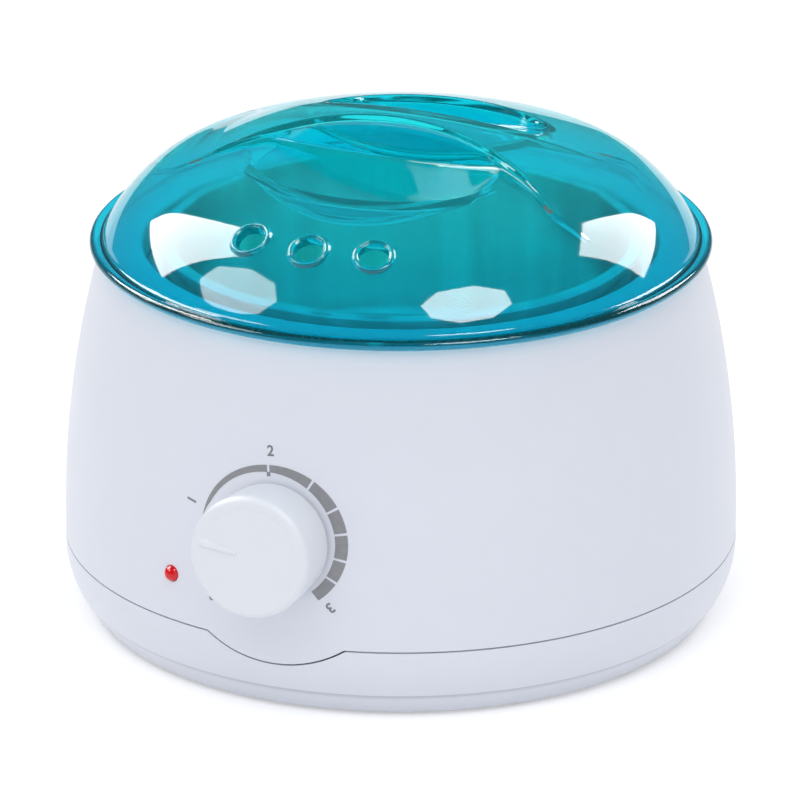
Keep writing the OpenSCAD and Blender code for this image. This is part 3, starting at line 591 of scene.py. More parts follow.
@dataclass(frozen=True)
class PrintedInk(Finish):
    """Pad-printed ink, a little duller than the plastic and slightly uneven."""

    gloss: float = 0.38
    uneven: Pair = (0.0, 0.12)
    tone: Grain = Grain(500.0)
    shades: Pair = (0.94, 1.05)
    skin: Grain = Grain(900.0)
    bumps: Grain = Grain(3000.0, 1.0)
    depth: float = 0.004


SHELL = {"tone": Grain(105.0), "bumps": Grain(420.0, 2.0), "depth": 0.008}
SHELL_COAT = (("IOR", 1.5), ("Coat Weight", 0.15), ("Coat Roughness", 0.12))
# the crown's colour is painted light: the lid's tint turns lighter and greener from 116 to 152 mm up
LID_TINT_AND_PAINTED_LIGHT = {"colour": (0.003, 0.63, 0.8), "crown": ((0.02, 0.84, 0.9), 116.0, 152.0)}

FINISHES: dict[str, Finish] = {
    # white_shell's step is painted shade under the step above the base band, from 5.9 to 7.9 mm
    "white_shell": MouldedPlastic(rgb(231, 234, 243), 0.32, fixed=SHELL_COAT, step=(5.9, 7.9, 0.74), **SHELL),
    "white_knob": MouldedPlastic(rgb(236, 239, 245), 0.46, **SHELL),
    "clear_lid": ClearPlastic(gloss=0.04, fixed=(("IOR", 1.49), ("Transmission Weight", 0.91)), **LID_TINT_AND_PAINTED_LIGHT),
    # the pot's upright colour bands are painted reflections
    "pot_metal": DrawnMetal(rgb(249, 252, 248)),
    "cup_metal": TurnedMetal(rgb(205, 208, 210), 0.4),
    "shield_metal": TurnedMetal(rgb(215, 217, 219), 0.22, skin=Grain(1200.0, 4.0, Run.RINGS)),
    "screw_steel": PlatedMetal(rgb(196, 198, 202), 0.28),
    "spring_steel": PlatedMetal(rgb(178, 180, 184), 0.24),
    "spindle_steel": PlatedMetal(rgb(200, 200, 202), 0.2),
    "nut_brass": PlatedMetal(rgb(214, 188, 120), 0.24),
    "foot_rubber": SoftRubber(rgb(60, 60, 64), 0.7),
    "gasket_rubber": SoftRubber(rgb(176, 62, 44)),
    "bush_rubber": SoftRubber(rgb(52, 52, 56)),
    "heater_mica": LayeredMica(rgb(176, 150, 116)),
    "felt": NeedledFibre(rgb(226, 216, 190)),
    "stat_black": MouldedPlastic(rgb(44, 44, 47), depth=0.03),
    "bulb_copper": PlatedMetal(rgb(206, 140, 100), 0.26),
    "fuse_white": FiredCeramic(rgb(232, 228, 218)),
    "lamp_red": ClearPlastic(rgb(240, 20, 32), 0.06, fixed=(("IOR", 1.49), ("Transmission Weight", 0.12))),
    "holder_black": MouldedPlastic(rgb(34, 34, 36), 0.45),
    "board_green": BoardLaminate(rgb(36, 120, 72)),
    "resistor_tan": FiredCeramic(rgb(212, 186, 146)),
    "block_ivory": MouldedPlastic(rgb(232, 226, 206), 0.45, tone=Grain(200.0), bumps=Grain(800.0, 2.0)),
    "clamp_black": MouldedPlastic(rgb(42, 42, 45), depth=0.03),
    "wire_red": SoftRubber(rgb(184, 44, 44), 0.45),
    "dial_ink": PrintedInk(rgb(146, 147, 150)),
    "fine_ink": PrintedInk(rgb(128, 130, 134)),
}


class Palette:
    """Builds each finish once and puts it on pieces."""

    def __init__(self) -> None:
        """Starts with no finish built."""
        self.built: dict[str, bpy.types.Material] = {}

    def dress(self, piece: Piece, name: str) -> None:
        """Puts one finish all over a piece.

        Args:
            piece: The piece.
            name: Name of the finish.
        """
        if name not in self.built:
            self.built[name] = FINISHES[name].build(name)
        piece.data.materials.clear()
        piece.data.materials.append(self.built[name])

    def dress_solids(self) -> None:
        """Gives every solid of the frame the finish of its slot."""
        slots = {row["node"]: row["material_slot"] for row in frame["record"]["subparts"]}
        for node, piece in frame["nodes"].items():
            self.dress(piece, slots[node])


# Modelling by hand


class Bench:
    """Operators on one new piece at a time."""

    @staticmethod
    def clear() -> None:
        """Leaves nothing selected and nothing active, in object mode."""
        if bpy.context.object and bpy.context.object.mode != "OBJECT":
            bpy.ops.object.mode_set(mode="OBJECT")
        bpy.ops.object.select_all(action="DESELECT")
        bpy.context.view_layer.objects.active = None

    @staticmethod
    def pick(piece: Piece) -> None:
        """Selects one piece alone.

        Args:
            piece: The piece.
        """
        Bench.clear()
        piece.select_set(True)
        bpy.context.view_layer.objects.active = piece

    @staticmethod
    def started(name: str, operator: Callable[..., set[str]], **options: object) -> Piece:
        """Starts a piece with one of the operators that add an object.

        Args:
            name: Name of the piece.
            operator: The operator.
            options: Its settings.

        Returns:
            The piece.
        """
        Bench.clear()
        operator(**options)
        piece = bpy.context.object
        piece.name = piece.data.name = name
        return piece

    @staticmethod
    def outwards(piece: Piece, weld: float = 0.0) -> None:
        """Turns a piece's normals outwards.

        Args:
            piece: The piece.
            weld: Distance in metres under which points are joined first.
        """
        Bench.pick(piece)
        bpy.ops.object.mode_set(mode="EDIT")
        bpy.ops.mesh.select_all(action="SELECT")
        if weld:
            bpy.ops.mesh.remove_doubles(threshold=weld)
        bpy.ops.mesh.normals_make_consistent(inside=False)
        bpy.ops.object.mode_set(mode="OBJECT")

    @staticmethod
    def turned(name: str, profile: Profile, steps: int) -> Piece:
        """Turns a closed piece round Z from a profile that starts and ends on the axis.

        Args:
            name: Name of the piece.
            profile: Radius and height of each point in millimetres.
            steps: Steps of the turn.

        Returns:
            The piece.
        """
        piece = Bench.started(name, bpy.ops.mesh.primitive_plane_add, size=MM)
        bpy.ops.object.mode_set(mode="EDIT")
        bpy.ops.mesh.merge(type="CENTER")
        points = [Vector((radius, 0, height)) * MM for radius, height in profile]
        bpy.ops.transform.translate(value=points[0])
        for before, after in zip(points, points[1:]):
            bpy.ops.mesh.extrude_region_move(TRANSFORM_OT_translate={"value": after - before})
        bpy.ops.mesh.select_all(action="SELECT")
        bpy.ops.mesh.spin(steps=steps, angle=2 * math.pi, center=(0, 0, 0), axis=(0, 0, 1))
        Bench.outwards(piece, 1e-6)
        return piece

    @staticmethod
    def smooth(piece: Piece, angle: float) -> None:
        """Shades a piece smooth, with edges sharper than an angle in degrees left sharp."""
        Bench.pick(piece)
        bpy.ops.object.shade_smooth_by_angle(angle=math.radians(angle))

    @staticmethod
    def placed(piece: Piece, place: Matrix) -> None:
        """Moves a piece's mesh, so that its object stays at the origin.

        Args:
            piece: The piece.
            place: The move.
        """
        piece.data.transform(place)
        piece.matrix_world = Matrix.Identity(4)
        piece.data.update()

    @staticmethod
    def modified(piece: Piece, kind: str, **options: object) -> None:
        """Gives a piece a modifier and applies it.

        Args:
            piece: The piece.
            kind: Kind of modifier.
            options: Its settings.
        """
        Bench.pick(piece)
        modifier = piece.modifiers.new(kind.lower(), kind)
        for name, value in options.items():
            setattr(modifier, name, value)
        bpy.ops.object.modifier_apply(modifier=modifier.name)

    @staticmethod
    def join_solid(piece: Piece, tool: Piece, how: str) -> None:
        """Adds another closed piece with UNION, or cuts it away with DIFFERENCE; the tool is used up."""
        Bench.modified(piece, "BOOLEAN", object=tool, operation=how, solver="MANIFOLD")
        bpy.data.objects.remove(tool, do_unlink=True)


# The lid


@dataclass
class LidSkin:
    """One skin of the clear lid: a dome with a narrow-waisted handle between two finger scoops.

    The curves are those of the solid lid. Its edges are rounded here, which no revolved or swept piece can hold,
    so the skin is laid out row by row from the same formulas. The sizes are the outer skin's, in millimetres, and
    the inset is how far this skin lies inside that one.
    """

    inset: float
    crown_r: float = 203.0
    crown_end: float = 67.5
    shoulder_r: float = 28.3
    shoulder_end: float = 37.7
    skirt_r: float = 50.3
    dome_h: float = 36.2
    grip_w: float = 9.6
    grip_side_r: float = 91.0
    grip_rise: float = 5.1
    grip_back_r: float = 132.5
    scoop_r: float = 47.5
    scoop_depth: float = 13.6
    scoop_floor_r: float = 115.0
    scoop_tilt: float = 6.5
    edge_r: float = 0.8
    least_edge_r: float = 0.7
    foot_r: float = 1.3
    foot_growth: float = 0.8
    draft: float = 0.3
    merge: float = 0.8
    # the crest's height, and where it comes in and runs out: a radius and a length
    crest: float = 0.45
    crest_in: Pair = (50.0, 5.0)
    crest_out: Pair = (63.4, 8.0)
    # radii at which the handle's side stops, the dome takes over, and the points spread out evenly
    grip_reach: float = 64.0
    dome_from: Pair = (60.0, 63.5)
    even_from: float = 66.0
    even_over: float = 16.0
    # the middle patch, whose rows in the scoop turn towards its corners
    patch_r: float = 52.6
    turn_x: float = 41.0
    columns: int = 120

    def __post_init__(self) -> None:
        """Works out the dome's three arcs, and how round this skin's edges are."""
        self.top_z = SIZES.rim_z + self.dome_h
        crown_a = math.asin(self.crown_end / self.crown_r)
        shoulder_a = math.radians(self.shoulder_end)
        self.crown_c = np.array([0.0, self.top_z - self.crown_r])
        toward = np.array([math.sin(crown_a), math.cos(crown_a)])
        self.shoulder_c = self.crown_c + (self.crown_r - self.shoulder_r) * toward
        toward = np.array([math.sin(shoulder_a), math.cos(shoulder_a)])
        self.skirt_c = self.shoulder_c + (self.shoulder_r - self.skirt_r) * toward
        self.crown_to = (self.crown_r - self.inset) * math.sin(crown_a)
        self.shoulder_to = self.shoulder_c[0] + (self.shoulder_r - self.inset) * math.sin(shoulder_a)
        self.edge = max(self.edge_r - self.inset, self.least_edge_r)
        self.foot = self.foot_r + self.inset * self.foot_growth

    def dome(self, r: np.ndarray) -> np.ndarray:
        """Height of the plain dome.

        Args:
            r: Distance from the axis.

        Returns:
            The height.
        """
        arcs = ((self.crown_c, self.crown_r), (self.shoulder_c, self.shoulder_r), (self.skirt_c, self.skirt_r))
        crown, shoulder, skirt = (
            c[1] + np.sqrt(np.maximum((full - self.inset) ** 2 - (r - c[0]) ** 2, 0)) for c, full in arcs
        )
        return np.where(r < self.crown_to, crown, np.where(r < self.shoulder_to, shoulder, skirt))

    def skirt_at(self, z: float) -> float:
        """Radius of the dome's lowest arc at a height."""
        return self.skirt_c[0] + math.sqrt((self.skirt_r - self.inset) ** 2 - (z - self.skirt_c[1]) ** 2)

    def side_y(self, x: float | np.ndarray, d: float) -> float | np.ndarray:
        """Distance from the middle line, at a place x along the handle, to a line d outside its side."""
        centre = self.grip_w / 2 + self.grip_side_r
        return centre - np.sqrt((self.grip_side_r - (d - self.inset)) ** 2 - x**2)

    def side_d(self, x: np.ndarray, y: np.ndarray) -> np.ndarray:
        """Distance outside the handle's side, negative within the handle."""
        return self.grip_side_r - np.hypot(x, self.grip_w / 2 + self.grip_side_r - y) + self.inset

    def floor(self, x: np.ndarray, y: np.ndarray) -> np.ndarray:
        """Height of a scoop's floor.

        Args:
            x: Place along the handle.
            y: Distance from the middle line.

        Returns:
            The height.
        """
        low = self.top_z + self.grip_rise - self.scoop_depth
        fall = (y - self.grip_w / 2) * math.tan(math.radians(self.scoop_tilt))
        return low - fall + self.scoop_floor_r - np.sqrt((self.scoop_floor_r + self.inset) ** 2 - x**2)

    def height(self, x: np.ndarray, y: np.ndarray, d: np.ndarray) -> np.ndarray:
        """Height of the skin.

        Args:
            x: Place along the handle.
            y: Distance from the middle line, not negative.
            d: Distance outside the handle's side as the row states it, or nan where the place says it.

        Returns:
            The height.
        """
        r = np.hypot(x, y)
        plain = self.dome(r)
        back = np.sqrt((self.grip_back_r - self.inset) ** 2 - r**2)
        top = self.top_z + self.grip_rise - self.grip_back_r + back
        # the handle's ends run out on the dome as a low crest
        (start, rise), (end, fade) = self.crest_in, self.crest_out
        crest = self.crest * np.clip((end - r) / fade, 0, 1) * np.clip((r - start) / rise, 0, 1)
        top = np.maximum(top, plain + crest)
        floor = self.floor(x, y)
        # outer wall of the scoop, between its floor and the dome
        past = (self.scoop_r + self.inset) - r
        merged = 0.5 * (plain + floor - np.sqrt((plain - floor) ** 2 + self.merge**2))
        low = np.where(past > self.foot, merged, np.minimum(self.step(plain, floor, past), plain))
        # side of the handle, between that and the handle's back
        return self.step(top, low, np.where(np.isnan(d), self.side_d(x, y), d))

    def step(self, high: np.ndarray, low: np.ndarray, d: np.ndarray) -> np.ndarray:
        """Height across a steep wall with a rounded top edge and a hollow foot.

        Args:
            high: Height above the wall.
            low: Height below it.
            d: Distance past the wall, negative above it.

        Returns:
            The height.
        """
        share = np.minimum(np.maximum(high - low, 0) / (self.edge + self.foot), 1.0)
        edge, foot = (np.maximum(r * share, 1e-6) for r in (self.edge, self.foot))
        over, under = (
            r - np.sqrt(r**2 - np.clip(r + past, 0, r) ** 2)
            for r, past in ((edge, d + self.draft), (foot, self.draft - d))
        )
        t = np.clip((d + self.draft) / (2 * self.draft), 0, 1)
        wall = (high - edge) * (1 - t) + (low + foot) * t
        out = np.where(d <= -self.draft, high - over, np.where(d >= self.draft, low + under, wall))
        return np.where(high > low, out, low)

    def rows(self) -> list[tuple[str, float]]:
        """Rows of the middle patch, from the handle's middle line to the patch's edge.

        Returns:
            For each row the kind of line that it follows, and its place on it.
        """
        quarter = math.pi / 2
        edge = [-self.draft - self.edge * math.cos(quarter * k / 5) for k in range(6)]
        wall = [-self.draft / 2, 0.0, self.draft / 2]
        foot = [self.draft + self.foot * (1 - math.cos(quarter * k / 6)) for k in range(7)]
        scoop_r = self.scoop_r + self.inset
        last = scoop_r + self.draft + self.edge
        rim = [scoop_r - (last + (self.patch_r - last) * k / 3) for k in (1, 2, 3)]
        rows = [("back", k / 6) for k in range(6)]
        rows += [("side", d) for d in edge + wall + foot]
        rows += [("floor", k / 14) for k in range(1, 14)]
        return rows + [("outer", d) for d in foot[::-1] + wall[::-1] + edge[::-1] + rim]

    def reach(self, d: float, share: float = 1.0) -> float:
        """How far along the handle a line stays on the patch.

        Args:
            d: The line's distance outside the handle's side.
            share: Share of the distance from the middle line, at which it runs.

        Returns:
            The place where it leaves the patch.
        """
        x = self.patch_r
        for _ in range(60):
            x = math.sqrt(self.patch_r**2 - (share * self.side_y(x, d)) ** 2)
        return x

    def scoop_line(self, kind: str, value: float, x: float | np.ndarray) -> float | np.ndarray:
        """Distance from the middle line to a row of the scoop.

        Args:
            kind: Kind of line that the row follows.
            value: Its place on it.
            x: Place along the handle, short of the row's turn.

        Returns:
            The distance.
        """
        scoop_r = self.scoop_r + self.inset
        if kind == "outer":
            return np.sqrt((scoop_r - value) ** 2 - x**2)
        near = self.side_y(x, self.draft + self.foot)
        return near + (np.sqrt((scoop_r - self.draft - self.foot) ** 2 - x**2) - near) * value

    def row(self, kind: str, value: float) -> tuple[np.ndarray, np.ndarray, np.ndarray]:
        """Lays out one row of the middle patch.

        Args:
            kind: Kind of line that it follows.
            value: Its place on it.

        Returns:
            x, y and the stated side distance of each point.
        """
        corner = math.acos(self.turn_x / self.patch_r)
        spread = np.cos(np.linspace(math.pi - corner, corner, self.columns + 1)) / math.cos(corner)
        unstated = np.full(self.columns + 1, np.nan)
        if kind in ("back", "side"):
            d, share = (value, 1.0) if kind == "side" else (-self.draft - self.edge, value)
            end_x = self.reach(d, share)
            x = end_x * spread
            y = share * self.side_y(x, d)
            y[0] = y[-1] = math.sqrt(self.patch_r**2 - end_x**2)
            return x, y, np.full_like(x, d) if kind == "side" else unstated
        near_d, turn_x = self.draft + self.foot, self.turn_x
        near = self.side_y(turn_x, near_d)
        far = math.sqrt(self.patch_r**2 - turn_x**2)
        share = (self.scoop_line(kind, value, turn_x) - near) / (far - near)
        reach = self.reach(near_d)
        first = math.atan2(self.side_y(reach, near_d), reach)
        a = first + (corner - first) * share
        end_x, end_y = self.patch_r * math.cos(a), self.patch_r * math.sin(a)
        x = end_x * spread
        past = np.clip((np.abs(x) - turn_x) / max(end_x - turn_x, 1e-9), 0, 1)
        y = self.scoop_line(kind, value, np.minimum(np.abs(x), turn_x)) * (1 - past) + end_y * past
        return x, y, unstated

    def middle(self) -> tuple[np.ndarray, np.ndarray, np.ndarray, np.ndarray]:
        """Builds the middle patch, of which both halves share the middle line.

        Returns:
            Its points, their stated side distances, its faces and the loop of its edge.
        """
        x, y, d = (np.array(part) for part in zip(*(self.row(*row) for row in self.rows())))
        x, d = (np.vstack([part[:0:-1], part]) for part in (x, d))
        y = np.vstack([-y[:0:-1], y])
        points = np.stack([x, y, self.height(x, np.abs(y), d)], -1).reshape(-1, 3)
        ids = np.arange(x.size).reshape(x.shape)
        faces = np.stack([ids[:-1, :-1], ids[:-1, 1:], ids[1:, 1:], ids[1:, :-1]], -1).reshape(-1, 4)
        loop = np.concatenate([ids[0], ids[1:, -1], ids[-1, -2::-1], ids[-2:0:-1, 0]])
        return points, d.reshape(-1), faces, loop

    def rings(self, low_z: float) -> list[tuple[float, float | None]]:
        """Rings of the skin outside the middle patch.

        Args:
            low_z: Height of the lowest ring.

        Returns:
            Radius of each ring, and its height where it isn't the dome's own.
        """
        a, b, r = self.crown_to, self.shoulder_to, self.skirt_r - self.inset
        start = math.asin((b - self.skirt_c[0]) / r)
        end = math.acos((low_z - self.skirt_c[1]) / r)
        angles = (start + (end - start) * k / 22 for k in range(1, 23))
        rings = [(self.patch_r + (a - self.patch_r) * k / 13, None) for k in range(1, 14)]
        rings += [(a + (b - a) * k / 9, None) for k in range(1, 10)]
        return rings + [(self.skirt_c[0] + r * math.sin(t), self.skirt_c[1] + r * math.cos(t)) for t in angles]

    def outside(self, edge: np.ndarray, side: np.ndarray, even: np.ndarray, low_z: float) -> list[np.ndarray]:
        """Carries the skin from the middle patch's edge down to its lowest ring.

        Args:
            edge: Points of that edge.
            side: Their stated side distances, which the handle's side keeps outside the patch.
            even: Angles of the points on the lower rings.
            low_z: Height of the lowest ring.

        Returns:
            The points of each ring.
        """
        angle = np.unwrap(np.arctan2(edge[:, 1], edge[:, 0]))
        halves = np.round(angle / math.pi) * math.pi
        centre = self.grip_w / 2 + self.grip_side_r
        beside = self.grip_side_r - (side - self.inset)
        rings = []
        for r, z in self.rings(low_z):
            at = min(r, self.grip_reach)
            off = np.arcsin(np.clip((at**2 + centre**2 - beside**2) / (2 * at * centre), -1, 1))
            own = np.where(np.isnan(side), angle, halves + np.sign(angle - halves) * off)
            share = min(max((r - self.even_from) / self.even_over, 0), 1)
            share = share * share * (3 - 2 * share)
            a = own * (1 - share) + even * share
            x, y = r * np.cos(a), r * np.sin(a)
            height = np.full_like(x, z or 0)
            if z is None:
                height, dome = self.height(x, np.abs(y), side), self.dome(np.full_like(x, r))
                if r > self.dome_from[0]:
                    height = np.maximum(height, dome) if r <= self.dome_from[1] else dome
            rings.append(np.stack([x, y, height], -1))
        return rings


@dataclass
class LidShell:
    """Clear lid: two skins, the flange that joins them, and three vent holes with raised rings."""

    wall: float = 2.5
    flange_r: float = 93.5
    flange_t: float = 3.0
    flange_foot: float = 1.4
    mouth: float = 0.4
    vent_r: float = 4.5
    vent_step: float = 15.5
    vent_slope: float = 31.3

    def flange(self, foot_r: float, mouth_r: float) -> Profile:
        """Section of the flange: a hollow foot, the top, a full round edge and the underside.

        Args:
            foot_r: Radius where the outer skin meets it.
            mouth_r: Radius where the inner skin does.

        Returns:
            The section.
        """
        base = SIZES.rim_z
        top = base + self.flange_t
        lines = arc(foot_r + 1.5, top + 1.45, 1.45, 205, 262, 5) + [(self.flange_r - 1.9, top)]
        lines += arc(self.flange_r - 1.5, top - 1.5, 1.5, 80, -80, 10)
        return lines + [(self.flange_r - 2.2, base), (mouth_r + 0.6, base), (mouth_r + 0.15, base + 0.1)]

    def build(self) -> Piece:
        """Lays out the whole lid and cuts its vent holes.

        Returns:
            The piece.
        """
        outer, inner = LidSkin(0.0), LidSkin(self.wall)
        foot_z, mouth_z = SIZES.rim_z + self.flange_t + self.flange_foot, SIZES.rim_z + self.mouth
        points, side, faces, loop = outer.middle()
        in_points, in_side, in_faces, in_loop = inner.middle()
        start = math.atan2(points[loop[0]][1], points[loop[0]][0])
        even = np.linspace(start, start + 2 * math.pi, len(loop), endpoint=False)
        rings = outer.outside(points[loop], side[loop], even, foot_z)
        for r, z in self.flange(outer.skirt_at(foot_z), inner.skirt_at(mouth_z)):
            rings.append(np.stack([r * np.cos(even), r * np.sin(even), np.full_like(even, z)], -1))
        in_rings = inner.outside(in_points[in_loop], in_side[in_loop], even, mouth_z)

        layers = [points, *rings, in_points, *in_rings]
        starts = np.cumsum([0, *map(len, layers)])
        ids = [start + np.arange(len(loop)) for start in starts]
        middle = len(rings) + 1
        in_start = starts[middle]
        chain = [loop, *ids[1:middle], *ids[middle + 1 : len(layers)][::-1], in_loop + in_start]
        walls = [np.stack([a, b, np.roll(b, -1), np.roll(a, -1)], -1) for a, b in zip(chain, chain[1:])]
        all_faces = np.vstack([faces, *walls, in_faces[:, ::-1] + in_start])

        mesh = bpy.data.meshes.new("lid_shell")
        mesh.from_pydata((np.vstack(layers) * MM).tolist(), [], all_faces.tolist())
        mesh.validate()
        piece = bpy.data.objects.new("lid_shell", mesh)
        bpy.context.collection.objects.link(piece)
        Bench.outwards(piece, 2e-6)
        self.vents(piece, outer)
        Bench.smooth(piece, 32)
        return piece

    def vents(self, piece: Piece, skin: LidSkin) -> None:
        """Adds the raised rings of the vent holes and cuts the holes.

        Args:
            piece: The lid.
            skin: Its outer skin.
        """
        a, r = math.radians(self.vent_slope), self.vent_r
        x, z = skin.shoulder_c + skin.shoulder_r * np.array([math.sin(a), math.cos(a)])
        lip = [(0.0, -1.6), (r + 1.3, -1.6), (r + 2.1, -0.9), (r + 2.1, -0.35), (r + 1.7, 0.1)]
        lip += arc(r + 0.95, 0.0, 0.75, 35, 150, 7) + [(r - 0.5, 0.0), (0.0, -0.2)]
        bore = [(0.0, -9.0), (r, -9.0), (r, 0.25), (r + 0.25, 0.5), (r + 0.5, 2.0), (0.0, 2.0)]
        for i in (-1, 0, 1):
            turn = Matrix.Rotation(math.radians(i * self.vent_step - 90), 4, "Z")
            place = turn @ Matrix.Translation(Vector((x, 0, z)) * MM) @ Matrix.Rotation(a, 4, "Y")
            for name, profile, how in (("vent_lip", lip, "UNION"), ("vent_bore", bore, "DIFFERENCE")):
                tool = Bench.turned(name, profile, 64)
                Bench.placed(tool, place)
                Bench.join_solid(piece, tool, how)


# The knob and its dial


@dataclass
class KnobCap:
    """Knob: a hollow drum that widens towards its softly rounded face, with a raised pointer."""

    back_r: float = 17.5
    face_r: float = 18.5
    round_r: float = 2.2
    dish_r: float = 15.4
    dish: float = 0.6
    wall: float = 2.0
    hub_r: float = 5.2
    bore_r: float = 3.05
    hub_h0: float = 4.2
    pointer_in: float = 4.0
    pointer_w: float = 3.0
    pointer_rise: float = 0.3
    pointer_edge: float = 0.3
    pointer_lean: float = 0.62
    pointer_tip: float = 0.3
    pointer_fall: float = 0.45

    def drum(self, gap: float, top: float) -> Profile:
        """Section of the drum, from the middle of its face round to the end of its bore.

        Args:
            gap: Height of its back.
            top: Height of its face.

        Returns:
            The section.
        """
        dish = top - self.dish
        under, bore_top = dish - self.wall, dish - self.wall - 1.2
        inner_r = self.back_r - self.wall
        side_z, side_h = top - 3.2, top - 3.2 - gap - 0.6
        lines = [(0.0, dish - 0.15), (5.0, dish - 0.13), (10.0, dish - 0.06), (self.dish_r - 1.6, dish)]
        lines += [(self.dish_r - 0.8, top - self.dish * 0.8), (self.dish_r, top - self.dish * 0.25)]
        lines += [(self.dish_r + 0.5, top - 0.04)]
        lines += arc(self.face_r - self.round_r, top - self.round_r, self.round_r, 84, 2, 12)
        lines += [(self.face_r - 0.02, top - self.round_r - 1.0)]
        lines += [
            (self.face_r - (self.face_r - self.back_r) * k / 5, side_z - side_h * k / 5) for k in range(1, 6)
        ]
        lines += arc(self.back_r - 0.5, gap + 0.5, 0.5, -10, -85, 4)
        lines += [(inner_r + 0.3, gap), (inner_r, gap + 0.3), (inner_r, under - 1.0), (inner_r - 0.3, under - 0.3)]
        lines += [(inner_r - 1.0, under), (self.hub_r + 0.5, under), (self.hub_r, under - 0.5)]
        lines += [(self.hub_r, self.hub_h0 + 0.3), (self.hub_r - 0.3, self.hub_h0)]
        return lines + [(self.bore_r, self.hub_h0), (self.bore_r, bore_top), (0.0, bore_top)]

    def build(self) -> Piece:
        """Turns the drum, adds the pointer, and sets both on the wall.

        Returns:
            The piece.
        """
        gap, top = SIZES.knob_gap, SIZES.knob_gap + SIZES.knob_h
        piece = Bench.turned("knob_cap", self.drum(gap, top), 128)
        Bench.join_solid(piece, self.pointer(top), "UNION")
        turn = Matrix.Rotation(math.radians(SIZES.knob_rest), 4, "Z")
        Bench.placed(piece, SIZES.knob_frame() @ turn)
        Bench.smooth(piece, 40)
        return piece

    def pointer(self, top: float) -> Piece:
        """Models the pointer from a block whose sides lean in and whose edges are rounded.

        Args:
            top: Height of the knob's face.

        Returns:
            The piece, pointing along +X.
        """
        length = self.dish_r + 0.5 - self.pointer_in
        height = self.dish + 0.9
        middle = (self.pointer_in + length / 2, 0, top + self.pointer_rise - height / 2)
        piece = Bench.started("knob_pointer", bpy.ops.mesh.primitive_cube_add, size=1.0)
        bpy.ops.object.mode_set(mode="EDIT")
        bpy.ops.transform.resize(value=[part * MM for part in (length, self.pointer_w, height)])
        bpy.ops.transform.translate(value=[part * MM for part in middle])
        bpy.ops.object.mode_set(mode="OBJECT")
        for v in piece.data.vertices:
            upper = v.co.z > top * MM
            if v.co.x < (self.pointer_in + 0.1) * MM:
                v.co.y *= self.pointer_tip
                v.co.z -= self.pointer_fall * MM if upper else 0.0
            elif upper:
                v.co.y *= self.pointer_lean
        Bench.modified(piece, "BEVEL", width=self.pointer_edge * MM, segments=3)
        return piece


class Mark(Enum):
    """Plain numbers of the dial, with where each stands: angle and radius round the knob."""

    ZERO = ("0", -133.3, 28.9)
    ONE = ("1", 165.5, 28.6)
    TWO = ("2", 94.8, 26.6)
    THREE = ("3", -47.1, 25.7)


